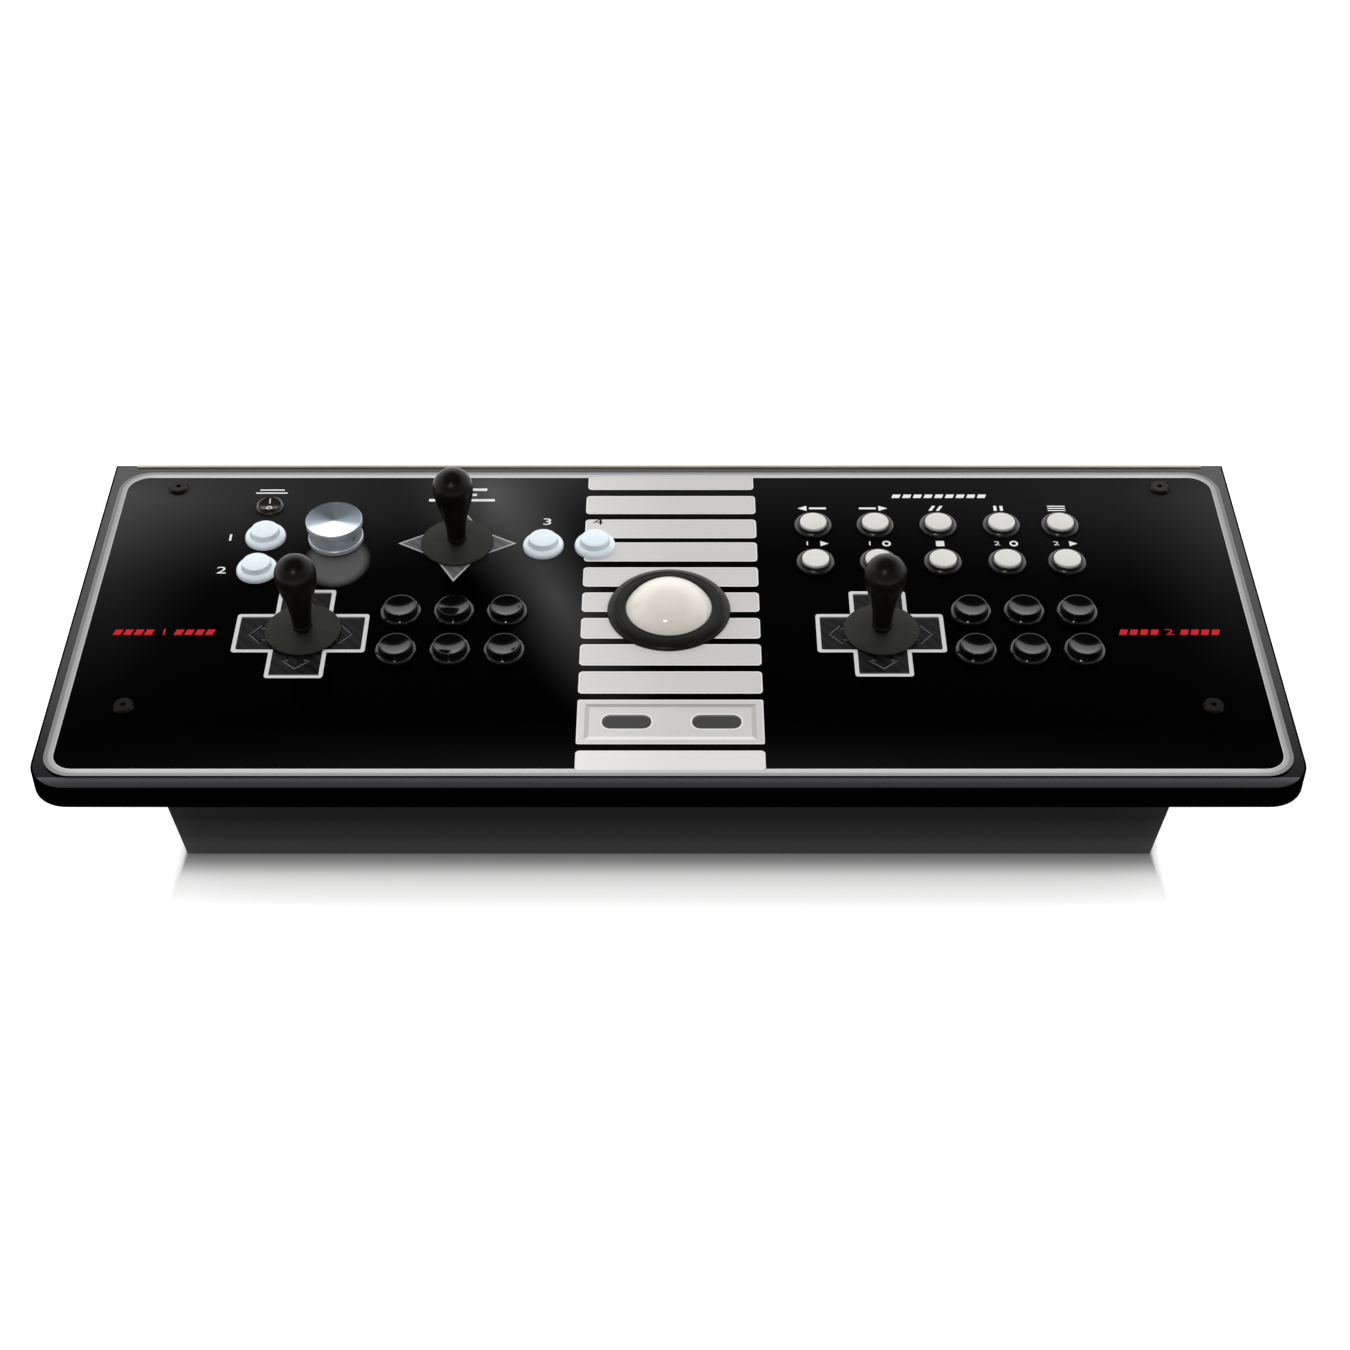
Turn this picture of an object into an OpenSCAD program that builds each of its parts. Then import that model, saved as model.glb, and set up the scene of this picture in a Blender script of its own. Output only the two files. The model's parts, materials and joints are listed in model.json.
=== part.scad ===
// Two-player arcade control panel: three joysticks, twenty-six buttons, a trackball,
// a spinner and a round rocker switch on a flat deck over a shallow base box.
// The origin is on the floor under the middle of the deck; +Y points to the back.

/* [Deck] */
// Width of the deck from side to side
deck_w = 927; // [915:1:945]
// Depth of the deck from front to back
deck_d = 381; // [375:1:395]
// Thickness of the deck board
deck_t = 19; // [18:0.5:21]
// Thickness of the printed plastic overlay
overlay_t = 1.5; // [1:0.1:2]
// Radius of the deck's two front corners
deck_corner_r = 28; // [24:1:30]
// Thickness of the edge moulding's cap
molding_t = 1.6; // [1:0.1:2.5]

/* [Base box] */
// Width of the base box
box_w = 737; // [734:1:760]
// Height of the deck's underside above the floor
box_h = 99; // [99:1:115]
// Thickness of the box walls
wall_t = 15; // [12:1:16]
// How far the front wall's top is set back from the deck's front
front_setback_top = 13.5; // [12:0.5:20]
// How far the front wall's foot is set back from the deck's front
front_setback_foot = 45.4; // [40:0.2:50]
// How far the rear wall is set in from the deck's back
rear_setback = 13; // [8:1:14]
// Gap between the floor and the box walls
foot_gap = 2; // [1:0.5:3]
// Thickness of the bottom panel
floor_t = 6; // [5:0.5:8]

/* [Joysticks] */
// Tilt of a stick from upright to its stop
stick_tilt = 8; // [5:0.5:8]
// Height of a stick's top above the overlay
stick_h = 73; // [68:1:80]
// Radius of the bat handle's round end
bat_r = 16; // [14:0.5:17]
// Radius of the bat handle's neck
neck_r = 7.75; // [7:0.25:8.5]
// Radius of the dust washer
dust_r = 29.15; // [27:0.05:31]

/* [Buttons] */
// Distance between neighbouring action buttons
action_pitch = 41.25; // [40:0.25:42]
// Distance between the two rows of action buttons
action_row_gap = 45; // [42:1:48]
// Distance between neighbouring menu buttons
menu_pitch = 50.3; // [48:0.1:52]
// Distance between the two rows of menu buttons
menu_row_gap = 46.5; // [44:0.5:48]

/* [Trackball and spinner] */
// Radius of the trackball, a three-inch ball
ball_r = 38.1; // [37.5:0.1:38.5]
// Radius of the trackball's ring
ring_r = 48; // [46:0.5:50]
// Radius of the spinner knob
spinner_r = 22.5; // [21:0.5:25]
// Height of the spinner knob
spinner_h = 21; // [16:0.5:22]

/* [Hidden] */
$fn = 96;

// Heights of the main surfaces above the floor
deck_top = box_h + deck_t;
top = deck_top + overlay_t;
floor_z = 5;
floor_top = floor_z + floor_t;
through = 40;  // extra length that carries a cut clear of both faces
gap = 0.3;     // clearance between a moving piece and its neighbour
pilot_gap = 0.1;

// Places of the controls on the deck
stick_at = [[-282, -20.5], [164, -20.5], [-170.5, 86]];
ball_at = [0, 4];
spinner_at = [-268, 89];
rocker_at = [-327, 132];
white_at = [[-325.5, 93], [-327, 52], [-101, 82], [-59.5, 82]];
action_bank_x = [-167, 276];
action_row_y = -22.6;
menu_x = 117.5;
menu_y = 60.8;
menu_shift = [-0.7, -0.7, 0.1, 1.1, -1.6];  // the columns are not quite evenly spaced
action_at = [for (x = action_bank_x, row = [1, -1], col = [-1:1])
    [x + col * action_pitch, action_row_y + row * action_row_gap / 2]];
menu_at = [for (row = [1, 0], col = [0:4])
    [menu_x + col * menu_pitch + menu_shift[col], menu_y + row * menu_row_gap]];
bolt_at = [for (x = [-405.5, 405.5], y = [157, -106.3]) [x, y]];

// A button kind: bezel radius, bezel height, barrel radius, plunger radius,
// plunger height above the overlay, travel
ACTION = [16.45, 5, 14, 12.4, 8.8, 3];
WHITE = [16.4, 5, 13.4, 11.2, 9.5, 2];
MENU = [15.65, 4.6, 12.4, 10.8, 6.2, 2.5];
function bezel_r(kind) = kind[0];
function bezel_h(kind) = kind[1];
function barrel_r(kind) = kind[2];
function plunger_r(kind) = kind[3];
function rise(kind) = kind[4];
function travel(kind) = kind[5];

barrel_len = 33;
barrel_floor_t = 2;
stem_r = 4;
stem_below = 2;
pin_r = 1;
pin_len = 6;
nut_t = 8;
nut_wall = 4;

// Microswitch body
switch_l = 28;
switch_t = 10;
switch_h = 16;
switch_top = -barrel_len - stem_below - travel(ACTION) - 0.5;
switch_hole_r = pin_r + gap;
blade = [0.8, 6.3, 8];

// Joystick mechanism, measured from the pivot
pivot_z = box_h - 7;
shaft_r = 4.75;
pivot_ball_r = 10;
trunnion_r = 2;
trunnion_len = 13;
base_block = 44;
base_plate = [96, 65, 3];
plate_hole = [42, 26];
chamber_r = 14;
switch_reach = 14.5;
slip_t = 0.6;
dust_t = 1.2;
slip_z = top + 0.05;
dust_z = slip_z + slip_t + 0.05;
shaft_sway = (dust_z + dust_t - pivot_z) * tan(stick_tilt);
deck_stick_hole_r = 12;

// Fasteners
screw_r = 2;
screw_head_r = 4;
screw_head_h = 2.4;
bolt_r = 3;
bolt_head_r = 8.1;
bolt_head_h = 3.2;
bolt_below = 20;

// Trackball
ball_z = top + 4 - 19.5;
ring_h = 4;
ring_open_r = 33.2;
roller_r = 4.5;
roller_drop = (ball_r + roller_r + 0.2) * sin(30);
roller_out = (ball_r + roller_r + 0.2) * cos(30);
housing = 110;
housing_depth = 41;
housing_wall = 3;
axle_r = 2;
idler_pin_r = 1.5;

// Spinner
spindle_r = 3.2;
bush_r = 8;
knob_lift = 1.5;
disc_drop = 26;

// Rocker switch
rocker_r = 11.6;
rocker_barrel_r = 10;
rocker_ball_r = 8.3;
rocker_z = top + 1.4;
rocker_rest = 7;

// Floor battens and their screws
batten = 16;
batten_screw_x = [-300, -100, 100, 300];
rear_wall_y = deck_d / 2 - rear_setback;
front_top_y = -deck_d / 2 + front_setback_top;
front_foot_y = -deck_d / 2 + front_setback_foot;
front_slope = (front_top_y - front_foot_y) / (box_h - foot_gap);
function front_y(z) = front_foot_y + front_slope * (z - foot_gap);
front_wall_run = wall_t * sqrt(1 + front_slope * front_slope);
upper_screw_y = [front_top_y + 28, rear_wall_y - wall_t - batten / 2];
lower_screw_y = [front_foot_y + 22, rear_wall_y - wall_t - batten / 2];
outlet_at = [250, 45];
outlet_r = 8;
board_at = [235, 70];
board = [110, 70, 1.6];
board_z = floor_top + 8;

// ---- helpers ----

// Repeats its children at each place in a list
module at_each(places) {
    for (p = places) translate([p[0], p[1], 0]) children();
}

// A plate outline with rounded front and back corners
module plate_outline(w, front, back, front_r, back_r) {
    depth = back - front;
    translate([-w / 2, front + front_r]) square([w, depth - front_r - back_r]);
    translate([-w / 2 + front_r, front]) square([w - 2 * front_r, depth / 2]);
    translate([-w / 2 + back_r, front + depth / 2 - 1]) square([w - 2 * back_r, depth / 2 + 1]);
    for (side = [-1, 1]) {
        translate([side * (w / 2 - front_r), front + front_r]) circle(front_r);
        if (back_r > 0)
            translate([side * (w / 2 - back_r), back - back_r]) circle(back_r);
    }
}

// The deck's outline, set in on its front and sides but not at the back
module deck_outline(inset) {
    plate_outline(deck_w - 2 * inset, -deck_d / 2 + inset, deck_d / 2, deck_corner_r - inset, 0);
}

// A round hole through everything near the deck
module deck_hole(r) {
    translate([0, 0, box_h - through / 2]) cylinder(r = r, h = deck_t + through);
}

// The holes that the controls need in the deck and in the overlay
module control_holes() {
    at_each(action_at) deck_hole(barrel_r(ACTION) + gap);
    at_each(white_at) deck_hole(barrel_r(WHITE) + gap);
    at_each(menu_at) deck_hole(barrel_r(MENU) + gap);
    at_each(stick_at) deck_hole(deck_stick_hole_r);
    at_each([ball_at]) deck_hole(ball_r + 1.4);
    at_each([spinner_at]) deck_hole(bush_r + gap);
    at_each([rocker_at]) deck_hole(rocker_barrel_r + gap);
    at_each(bolt_at) deck_hole(bolt_r + gap);
}

// Places of the screws that hold mechanisms to the deck's underside
mechanism_screws = concat(
    [for (s = stick_at, x = [-1, 1], y = [-1, 1]) [s[0] + x * plate_hole[0], s[1] + y * plate_hole[1]]],
    [for (x = [-1, 1], y = [-1, 1]) [ball_at[0] + x * 62, ball_at[1] + y * 40]],
    [for (x = [-1, 1], y = [-1, 1]) [spinner_at[0] + x * 17, spinner_at[1] + y * 17]]
);

// A blind hole for a wood screw
module pilot(z, depth) {
    translate([0, 0, z]) cylinder(r = screw_r + pilot_gap, h = depth);
}

// ---- fixed pieces ----

// Height of the edge moulding's barb and of the slot that takes it
barb_t = 2;
barb_in = 6;
slot_gap = 0.2;
// The metal strip let into the deck's back edge
strip_w = 891;
strip_d = 3.5;
strip_proud = 1;

module deck_board() {
    color([0.12, 0.12, 0.12]) difference() {
        translate([0, 0, box_h]) linear_extrude(deck_t) deck_outline(molding_t);
        control_holes();
        translate([0, 0, box_h + deck_t / 2 - barb_t / 2 - slot_gap])
            linear_extrude(barb_t + 2 * slot_gap) difference() {
                deck_outline(0);
                deck_outline(molding_t + barb_in + slot_gap);
            }
        translate([-strip_w / 2, deck_d / 2 - strip_d, box_h - 1])
            cube([strip_w, strip_d + 1, deck_t + 2]);
        at_each(mechanism_screws) pilot(box_h - 1, 13.5);
        for (x = batten_screw_x, y = upper_screw_y)
            at_each([[x, y]]) pilot(box_h - 1, 13.5);
    }
}

module graphic_overlay() {
    side_margin = 8;
    front_margin = 11.7;
    back_margin = 11;
    color([0.06, 0.06, 0.06]) difference() {
        translate([0, 0, deck_top]) linear_extrude(overlay_t)
            plate_outline(deck_w - 2 * side_margin, -deck_d / 2 + front_margin,
                deck_d / 2 - back_margin, 23, 25);
        control_holes();
    }
}

module edge_molding() {
    color([0.02, 0.02, 0.02]) {
        translate([0, 0, box_h]) linear_extrude(deck_t) difference() {
            deck_outline(0);
            plate_outline(deck_w - 2 * molding_t, -deck_d / 2 + molding_t, deck_d / 2 + 1,
                deck_corner_r - molding_t, 0);
        }
        translate([0, 0, box_h + deck_t / 2 - barb_t / 2]) linear_extrude(barb_t) difference() {
            deck_outline(molding_t);
            plate_outline(deck_w - 2 * (molding_t + barb_in), -deck_d / 2 + molding_t + barb_in,
                deck_d / 2 + 1, deck_corner_r - molding_t - barb_in, 0);
        }
    }
    color([0.72, 0.67, 0.56])
        translate([-strip_w / 2, deck_d / 2 - strip_d, box_h])
            cube([strip_w, strip_d, deck_t + strip_proud]);
}

// The carcass's side outline: the front wall leans back towards its foot
module box_profile(width, low, high, inset) {
    translate([-width / 2, 0, 0]) rotate([90, 0, 90]) linear_extrude(width) polygon([
        [front_y(low) + inset * front_wall_run / wall_t, low],
        [rear_wall_y - inset, low],
        [rear_wall_y - inset, high],
        [front_y(high) + inset * front_wall_run / wall_t, high]
    ]);
}

module base_box() {
    color([0.1, 0.1, 0.1]) difference() {
        union() {
            difference() {
                box_profile(box_w, foot_gap, box_h, 0);
                box_profile(box_w - 2 * wall_t, foot_gap - 1, box_h + 1, wall_t);
            }
            inner_w = box_w - 2 * wall_t + 2;
            for (z = [floor_top, box_h - batten])
                translate([-inner_w / 2, rear_wall_y - wall_t - batten, z])
                    cube([inner_w, batten + 1, batten]);
            translate([-inner_w / 2, front_foot_y, floor_top])
                cube([inner_w, batten + 14, batten]);
            translate([-inner_w / 2, front_top_y + 12, box_h - batten])
                cube([inner_w, batten + 8, batten]);
        }
        translate([outlet_at[0], rear_wall_y - wall_t - 1, outlet_at[1]])
            rotate([-90, 0, 0]) cylinder(r = outlet_r, h = wall_t + 2);
        for (x = batten_screw_x, y = upper_screw_y)
            at_each([[x, y]]) pilot(box_h - batten - 1, batten + 2);
        for (x = batten_screw_x, y = lower_screw_y)
            at_each([[x, y]]) pilot(floor_top - 1, batten - 2);
    }
}

module base_floor() {
    clear = 0.5;
    front = front_y(floor_z) + front_wall_run + clear;
    color([0.45, 0.36, 0.26]) difference() {
        translate([-box_w / 2 + wall_t + clear, front, floor_z])
            cube([box_w - 2 * (wall_t + clear), rear_wall_y - wall_t - clear - front, floor_t]);
        for (x = batten_screw_x, y = lower_screw_y)
            at_each([[x, y]]) pilot(floor_z - 1, floor_t + 2);
    }
}

module rubber_feet() {
    foot_r = 15;
    color([0.05, 0.05, 0.05])
        for (x = [-310, 0, 310], y = [front_foot_y + 50, rear_wall_y - 50])
            translate([x, y, 0]) cylinder(r1 = foot_r - 2, r2 = foot_r, h = floor_z);
}

// A wood screw driven upwards, with its head under the surface at z
module wood_screw(z, length) {
    translate([0, 0, z - screw_head_h]) difference() {
        union() {
            cylinder(r1 = screw_head_r - 1, r2 = screw_head_r, h = screw_head_h);
            translate([0, 0, screw_head_h - 0.1]) cylinder(r = screw_r, h = length + 0.1);
        }
        translate([-0.6, -2.4, -1]) cube([1.2, 4.8, 2.2]);
        translate([-2.4, -0.6, -1]) cube([4.8, 1.2, 2.2]);
    }
}

// A low-head deck bolt with its washer and nut under the deck
module deck_bolt() {
    washer_t = 1.2;
    nut_h = 5;
    socket_r = 2.2;
    shank_r = bolt_r - 0.4;
    head_edge = 1.2;
    thread_top = box_h - washer_t - nut_h - 0.5;
    difference() {
        union() {
            translate([0, 0, top]) cylinder(r = bolt_head_r, h = head_edge);
            translate([0, 0, top + head_edge])
                cylinder(r1 = bolt_head_r, r2 = bolt_head_r - 1.2, h = bolt_head_h - head_edge);
            translate([0, 0, box_h - bolt_below]) cylinder(r = bolt_r, h = thread_top - box_h + bolt_below);
            translate([0, 0, thread_top - 0.1]) cylinder(r = shank_r, h = top - thread_top + 0.2);
        }
        translate([0, 0, top + 0.8]) cylinder(r = socket_r, h = bolt_head_h, $fn = 6);
    }
    difference() {
        union() {
            translate([0, 0, box_h - washer_t]) cylinder(r = 7, h = washer_t);
            translate([0, 0, box_h - washer_t - nut_h]) cylinder(r = 5.8, h = nut_h, $fn = 6);
        }
        translate([0, 0, box_h - through]) cylinder(r = bolt_r + pilot_gap / 2, h = through + 1);
    }
}

module fasteners() {
    color([0.16, 0.13, 0.11]) {
        at_each(bolt_at) deck_bolt();
        at_each(mechanism_screws) wood_screw(box_h - base_plate[2], 14);
        for (x = batten_screw_x, y = upper_screw_y)
            at_each([[x, y]]) wood_screw(box_h - batten, batten + 11);
        for (x = batten_screw_x, y = lower_screw_y)
            at_each([[x, y]]) wood_screw(floor_z, floor_t + 12);
    }
}

// ---- buttons ----

// The nut that clamps a button's barrel from under the deck
module panel_nut(kind) {
    inner = barrel_r(kind) + pilot_gap;
    translate([0, 0, box_h - nut_t]) difference() {
        union() {
            cylinder(r = inner + nut_wall - 1, h = nut_t);
            translate([0, 0, nut_t - 2]) cylinder(r = inner + nut_wall, h = 2);
        }
        translate([0, 0, -1]) cylinder(r = inner, h = nut_t + 2);
        for (turn = [0:60:300])
            rotate([0, 0, turn]) translate([inner + nut_wall - 2, -2, -1]) cube([4, 4, nut_t - 2]);
    }
}

module panel_nuts() {
    color([0.08, 0.08, 0.08]) {
        at_each(action_at) panel_nut(ACTION);
        at_each(white_at) panel_nut(WHITE);
        at_each(menu_at) panel_nut(MENU);
    }
}

// A button's housing: the bezel's own outline, the barrel, its floor and two switch lugs
module button_housing(kind, rim_r, rim_h) {
    bore = plunger_r(kind) + gap;
    lug = [2, 12, 17];
    translate([0, 0, top]) {
        rotate_extrude() polygon(concat(
            [[bore, -barrel_len + barrel_floor_t], [stem_r + gap, -barrel_len + barrel_floor_t],
             [stem_r + gap, -barrel_len], [barrel_r(kind), -barrel_len], [barrel_r(kind), 0],
             [bezel_r(kind), 0]],
            [for (a = [0:15:75])
                [rim_r + (bezel_r(kind) - rim_r) * cos(a), rim_h + (bezel_h(kind) - rim_h) * sin(a)]],
            [[rim_r, bezel_h(kind)], [bore + 0.4, bezel_h(kind) - 0.2], [bore, bezel_h(kind) - 0.7]]
        ));
        for (side = [-1, 1])
            translate([side * (switch_t / 2 + lug[0] / 2) - lug[0] / 2, -lug[1] / 2, -barrel_len - lug[2]])
                cube([lug[0], lug[1], lug[2] + 0.5]);
    }
}

module black_bezels() {
    color([0.03, 0.03, 0.03]) {
        at_each(action_at) button_housing(ACTION, plunger_r(ACTION) + 1, 0.8);
        at_each(menu_at) button_housing(MENU, plunger_r(MENU) + 0.9, 0.8);
    }
}

module white_bezels() {
    color([0.88, 0.94, 0.96]) at_each(white_at) button_housing(WHITE, plunger_r(WHITE) + 1.2, 1.4);
}

// A plunger: a hollow cap with a rounded edge, its stem and the switch's pin
module plunger(kind, edge) {
    r = plunger_r(kind);
    crown = rise(kind);
    wall = 1.6;
    skirt = -12;
    translate([0, 0, top]) rotate_extrude() polygon(concat(
        [[0, crown], [r - edge, crown]],
        [for (a = [75:-15:15]) [r - edge + edge * cos(a), crown - edge + edge * sin(a)]],
        [[r, crown - edge], [r, skirt], [r - wall, skirt], [r - wall, crown - 5],
         [stem_r, crown - 5], [stem_r, -barrel_len - stem_below],
         [pin_r, -barrel_len - stem_below], [pin_r, -barrel_len - stem_below - pin_len],
         [0, -barrel_len - stem_below - pin_len]]
    ));
}

// The action button's plunger is dished for a fingertip
module action_plunger(p) {
    dish_r = 11.5;
    dish_depth = 1.8;
    dish_sphere = (dish_r * dish_r + dish_depth * dish_depth) / (2 * dish_depth);
    color([0.03, 0.03, 0.03]) at_each([p]) difference() {
        plunger(ACTION, 0.8);
        translate([0, 0, top + rise(ACTION) - dish_depth + dish_sphere]) sphere(dish_sphere);
    }
}

module white_plunger(p) {
    color([0.88, 0.94, 0.96]) at_each([p]) plunger(WHITE, 2);
}

module menu_plunger(p) {
    color([0.9, 0.89, 0.86]) at_each([p]) plunger(MENU, 0.8);
}

// A microswitch lying along Y, its top face at the origin, with three blade terminals
module microswitch_body() {
    difference() {
        translate([-switch_t / 2, -switch_l / 2, -switch_h]) cube([switch_t, switch_l, switch_h]);
        for (y = [-11, 11])
            translate([-switch_t / 2 - 1, y, -switch_h + 3])
                rotate([0, 90, 0]) cylinder(r = 1.5, h = switch_t + 2);
    }
    for (y = [-10, 0, 10])
        translate([-blade[0] / 2, y - blade[1] / 2, -switch_h - blade[2]])
            cube([blade[0], blade[1], blade[2] + 0.5]);
}

module button_switch() {
    translate([0, 0, top + switch_top]) difference() {
        microswitch_body();
        translate([0, 0, -6.5]) cylinder(r = switch_hole_r, h = 7.5);
    }
}

// The four switches round a stick's actuator, lying on their sides with their pins inwards
module stick_switches() {
    for (turn = [0:90:270])
        translate([0, 0, pivot_z - 30]) rotate([0, 0, turn])
            translate([switch_reach, 0, 0]) rotate([0, -90, 0]) {
                microswitch_body();
                cylinder(r = pin_r, h = 1);
            }
}

module microswitches() {
    color([0.12, 0.12, 0.12]) {
        at_each(concat(action_at, white_at, menu_at)) button_switch();
        at_each(stick_at) stick_switches();
    }
}

// ---- joysticks ----

// Mounting plate, pivot block, spring chamber and switch carrier in one moulding
module joystick_base() {
    block_bottom = pivot_z - 22;
    carrier = 64;
    carrier_t = 3;
    difference() {
        union() {
            translate([-base_plate[0] / 2, -base_plate[1] / 2, box_h - base_plate[2]]) cube(base_plate);
            translate([-base_block / 2, -base_block / 2, block_bottom])
                cube([base_block, base_block, box_h - block_bottom]);
            translate([-carrier / 2, -carrier / 2, block_bottom - carrier_t])
                cube([carrier, carrier, carrier_t + 0.1]);
        }
        translate([0, 0, pivot_z - 11]) cylinder(r = pivot_ball_r + 0.4, h = through);
        translate([0, 0, block_bottom - carrier_t - 1])
            cylinder(r = chamber_r, h = pivot_z - 11 - block_bottom + carrier_t + 1.5);
        translate([-trunnion_len - 0.5, 0, pivot_z]) rotate([0, 90, 0])
            cylinder(r = trunnion_r + pilot_gap, h = 2 * trunnion_len + 1);
        for (x = [-1, 1], y = [-1, 1])
            translate([x * plate_hole[0], y * plate_hole[1], box_h - base_plate[2] - 1])
                cylinder(r = screw_r + pilot_gap, h = base_plate[2] + 2);
    }
}

module joystick_bases() {
    color([0.1, 0.1, 0.1]) at_each(stick_at) joystick_base();
}

// The slotted ball that rocks front to back on its two trunnions
module pivot_ball(p) {
    slot = [13.2, 2 * (shaft_r + gap)];
    color([0.75, 0.74, 0.7]) translate([p[0], p[1], pivot_z]) difference() {
        union() {
            sphere(pivot_ball_r);
            for (side = [-1, 1])
                rotate([0, side * 90, 0]) translate([0, 0, pivot_ball_r - 1])
                    cylinder(r = trunnion_r, h = trunnion_len - pivot_ball_r + 1);
        }
        translate([-slot[0] / 2, -slot[1] / 2, -pivot_ball_r - 1])
            cube([slot[0], slot[1], 2 * pivot_ball_r + 2]);
        rotate([90, 0, 0]) cylinder(r = 1.6, h = 2 * pivot_ball_r + 2, center = true);
    }
}

// The bat handle's outline: a plain neck, an eased taper and a domed end
bat_foot = top + 4;
bat_centre = top + stick_h - bat_r;
neck_top = bat_foot + 8;
taper_steps = 16;
function ease(t) = t * t * (3 - 2 * t);
bat_outline = concat(
    [[0, bat_foot], [neck_r - 1.75, bat_foot], [neck_r, bat_foot + 1.5], [neck_r - 0.2, neck_top - 3]],
    [for (i = [1:taper_steps])
        let (t = i / taper_steps)
        [neck_r + (bat_r - neck_r) * ease(t), neck_top + (bat_centre - neck_top) * t]],
    [for (a = [10:10:80]) [bat_r * cos(a), bat_centre + bat_r * sin(a)]],
    [[0, bat_centre + bat_r]]
);

// A stick: bat handle on a steel shaft with its cross pin, actuator and clip
module stick(p) {
    socket_top = bat_centre - 10;
    shaft_bottom = pivot_z - 38;
    actuator = [8, 8];
    actuator_z = pivot_z - 34;
    clip_z = actuator_z - 2;
    at_each([p]) {
        color([0.06, 0.06, 0.055]) difference() {
            rotate_extrude() polygon(bat_outline);
            translate([0, 0, bat_foot - 1]) cylinder(r = shaft_r, h = socket_top - bat_foot + 1);
        }
        color([0.7, 0.7, 0.7]) union() {
            translate([0, 0, shaft_bottom]) cylinder(r = shaft_r, h = socket_top - shaft_bottom);
            translate([0, 0, pivot_z]) rotate([90, 0, 0])
                cylinder(r = 1.5, h = 2 * pivot_ball_r - 2, center = true);
        }
        color([0.1, 0.1, 0.1]) translate([0, 0, actuator_z]) difference() {
            cylinder(r = actuator[0], h = actuator[1]);
            translate([0, 0, -1]) cylinder(r = shaft_r, h = actuator[1] + 2);
        }
        color([0.6, 0.6, 0.6]) translate([0, 0, clip_z]) difference() {
            cylinder(r = 7, h = 1);
            translate([0, 0, -1]) cylinder(r = shaft_r, h = 3);
        }
    }
}

// The thin washer on the overlay that follows the stick front to back;
// its long hole lets the shaft swing from side to side
module slip_washer(p) {
    slot_half = shaft_r + gap;
    color([0.5, 0.5, 0.48]) translate([p[0], p[1], slip_z]) difference() {
        cylinder(r = dust_r - 5, h = slip_t);
        translate([0, 0, -1]) linear_extrude(slip_t + 2) {
            translate([-shaft_sway, -slot_half - gap]) square([2 * shaft_sway, 2 * (slot_half + gap)]);
            for (side = [-1, 1]) translate([side * shaft_sway, 0]) circle(slot_half + gap);
        }
    }
}

module dust_washer(p) {
    color([0.24, 0.24, 0.22]) translate([p[0], p[1], dust_z]) difference() {
        cylinder(r = dust_r, h = dust_t);
        translate([0, 0, -1]) cylinder(r = shaft_r + 2 * gap, h = dust_t + 2);
    }
}

// ---- trackball ----

module trackball_ring() {
    step_r = 41;
    lip_t = 0.5;
    color([0.2, 0.2, 0.18]) translate([ball_at[0], ball_at[1], top]) rotate_extrude() polygon([
        [35.4, 0], [ring_open_r + 0.3, ring_h - 0.6], [ring_open_r + 0.6, ring_h - 0.1],
        [step_r - 1, ring_h],
        [step_r - 0.5, ring_h - lip_t], [step_r + 0.5, ring_h - lip_t], [step_r + 1, ring_h - 0.1],
        [ring_r - 4, ring_h - 0.4], [ring_r - 1.5, ring_h - 1.4], [ring_r - 0.3, ring_h - 2.8], [ring_r, 0],
        [ball_r + 1.3, 0], [ball_r + 1.3, -3.5], [ball_r + 0.5, -3.5], [ball_r + 0.5, 0]
    ]);
}

// Bearing post at the free end of a roller's axle
module axle_post() {
    post = [6, 8];
    translate([-post[0], -post[1] / 2, -roller_drop - 6]) cube([post[0], post[1], 12]);
    translate([-post[0], -post[1] / 2, box_h - housing_depth - ball_z + 0.1])
        cube([post[0], post[1], ball_z + housing_depth - box_h - roller_drop]);
}

// Fork and pin that hold the idler bearing, the ball's third support
module idler_fork() {
    cheek_t = 2;
    for (side = [-1, 1])
        translate([roller_out - 3, side * (3.2 + cheek_t / 2) - cheek_t / 2, box_h - housing_depth + 1])
            cube([8, cheek_t, ball_z - roller_drop - box_h + housing_depth + 1]);
    translate([roller_out + 0.1, 0, ball_z - roller_drop]) rotate([90, 0, 0])
        cylinder(r = idler_pin_r, h = 9, center = true);
}

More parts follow.
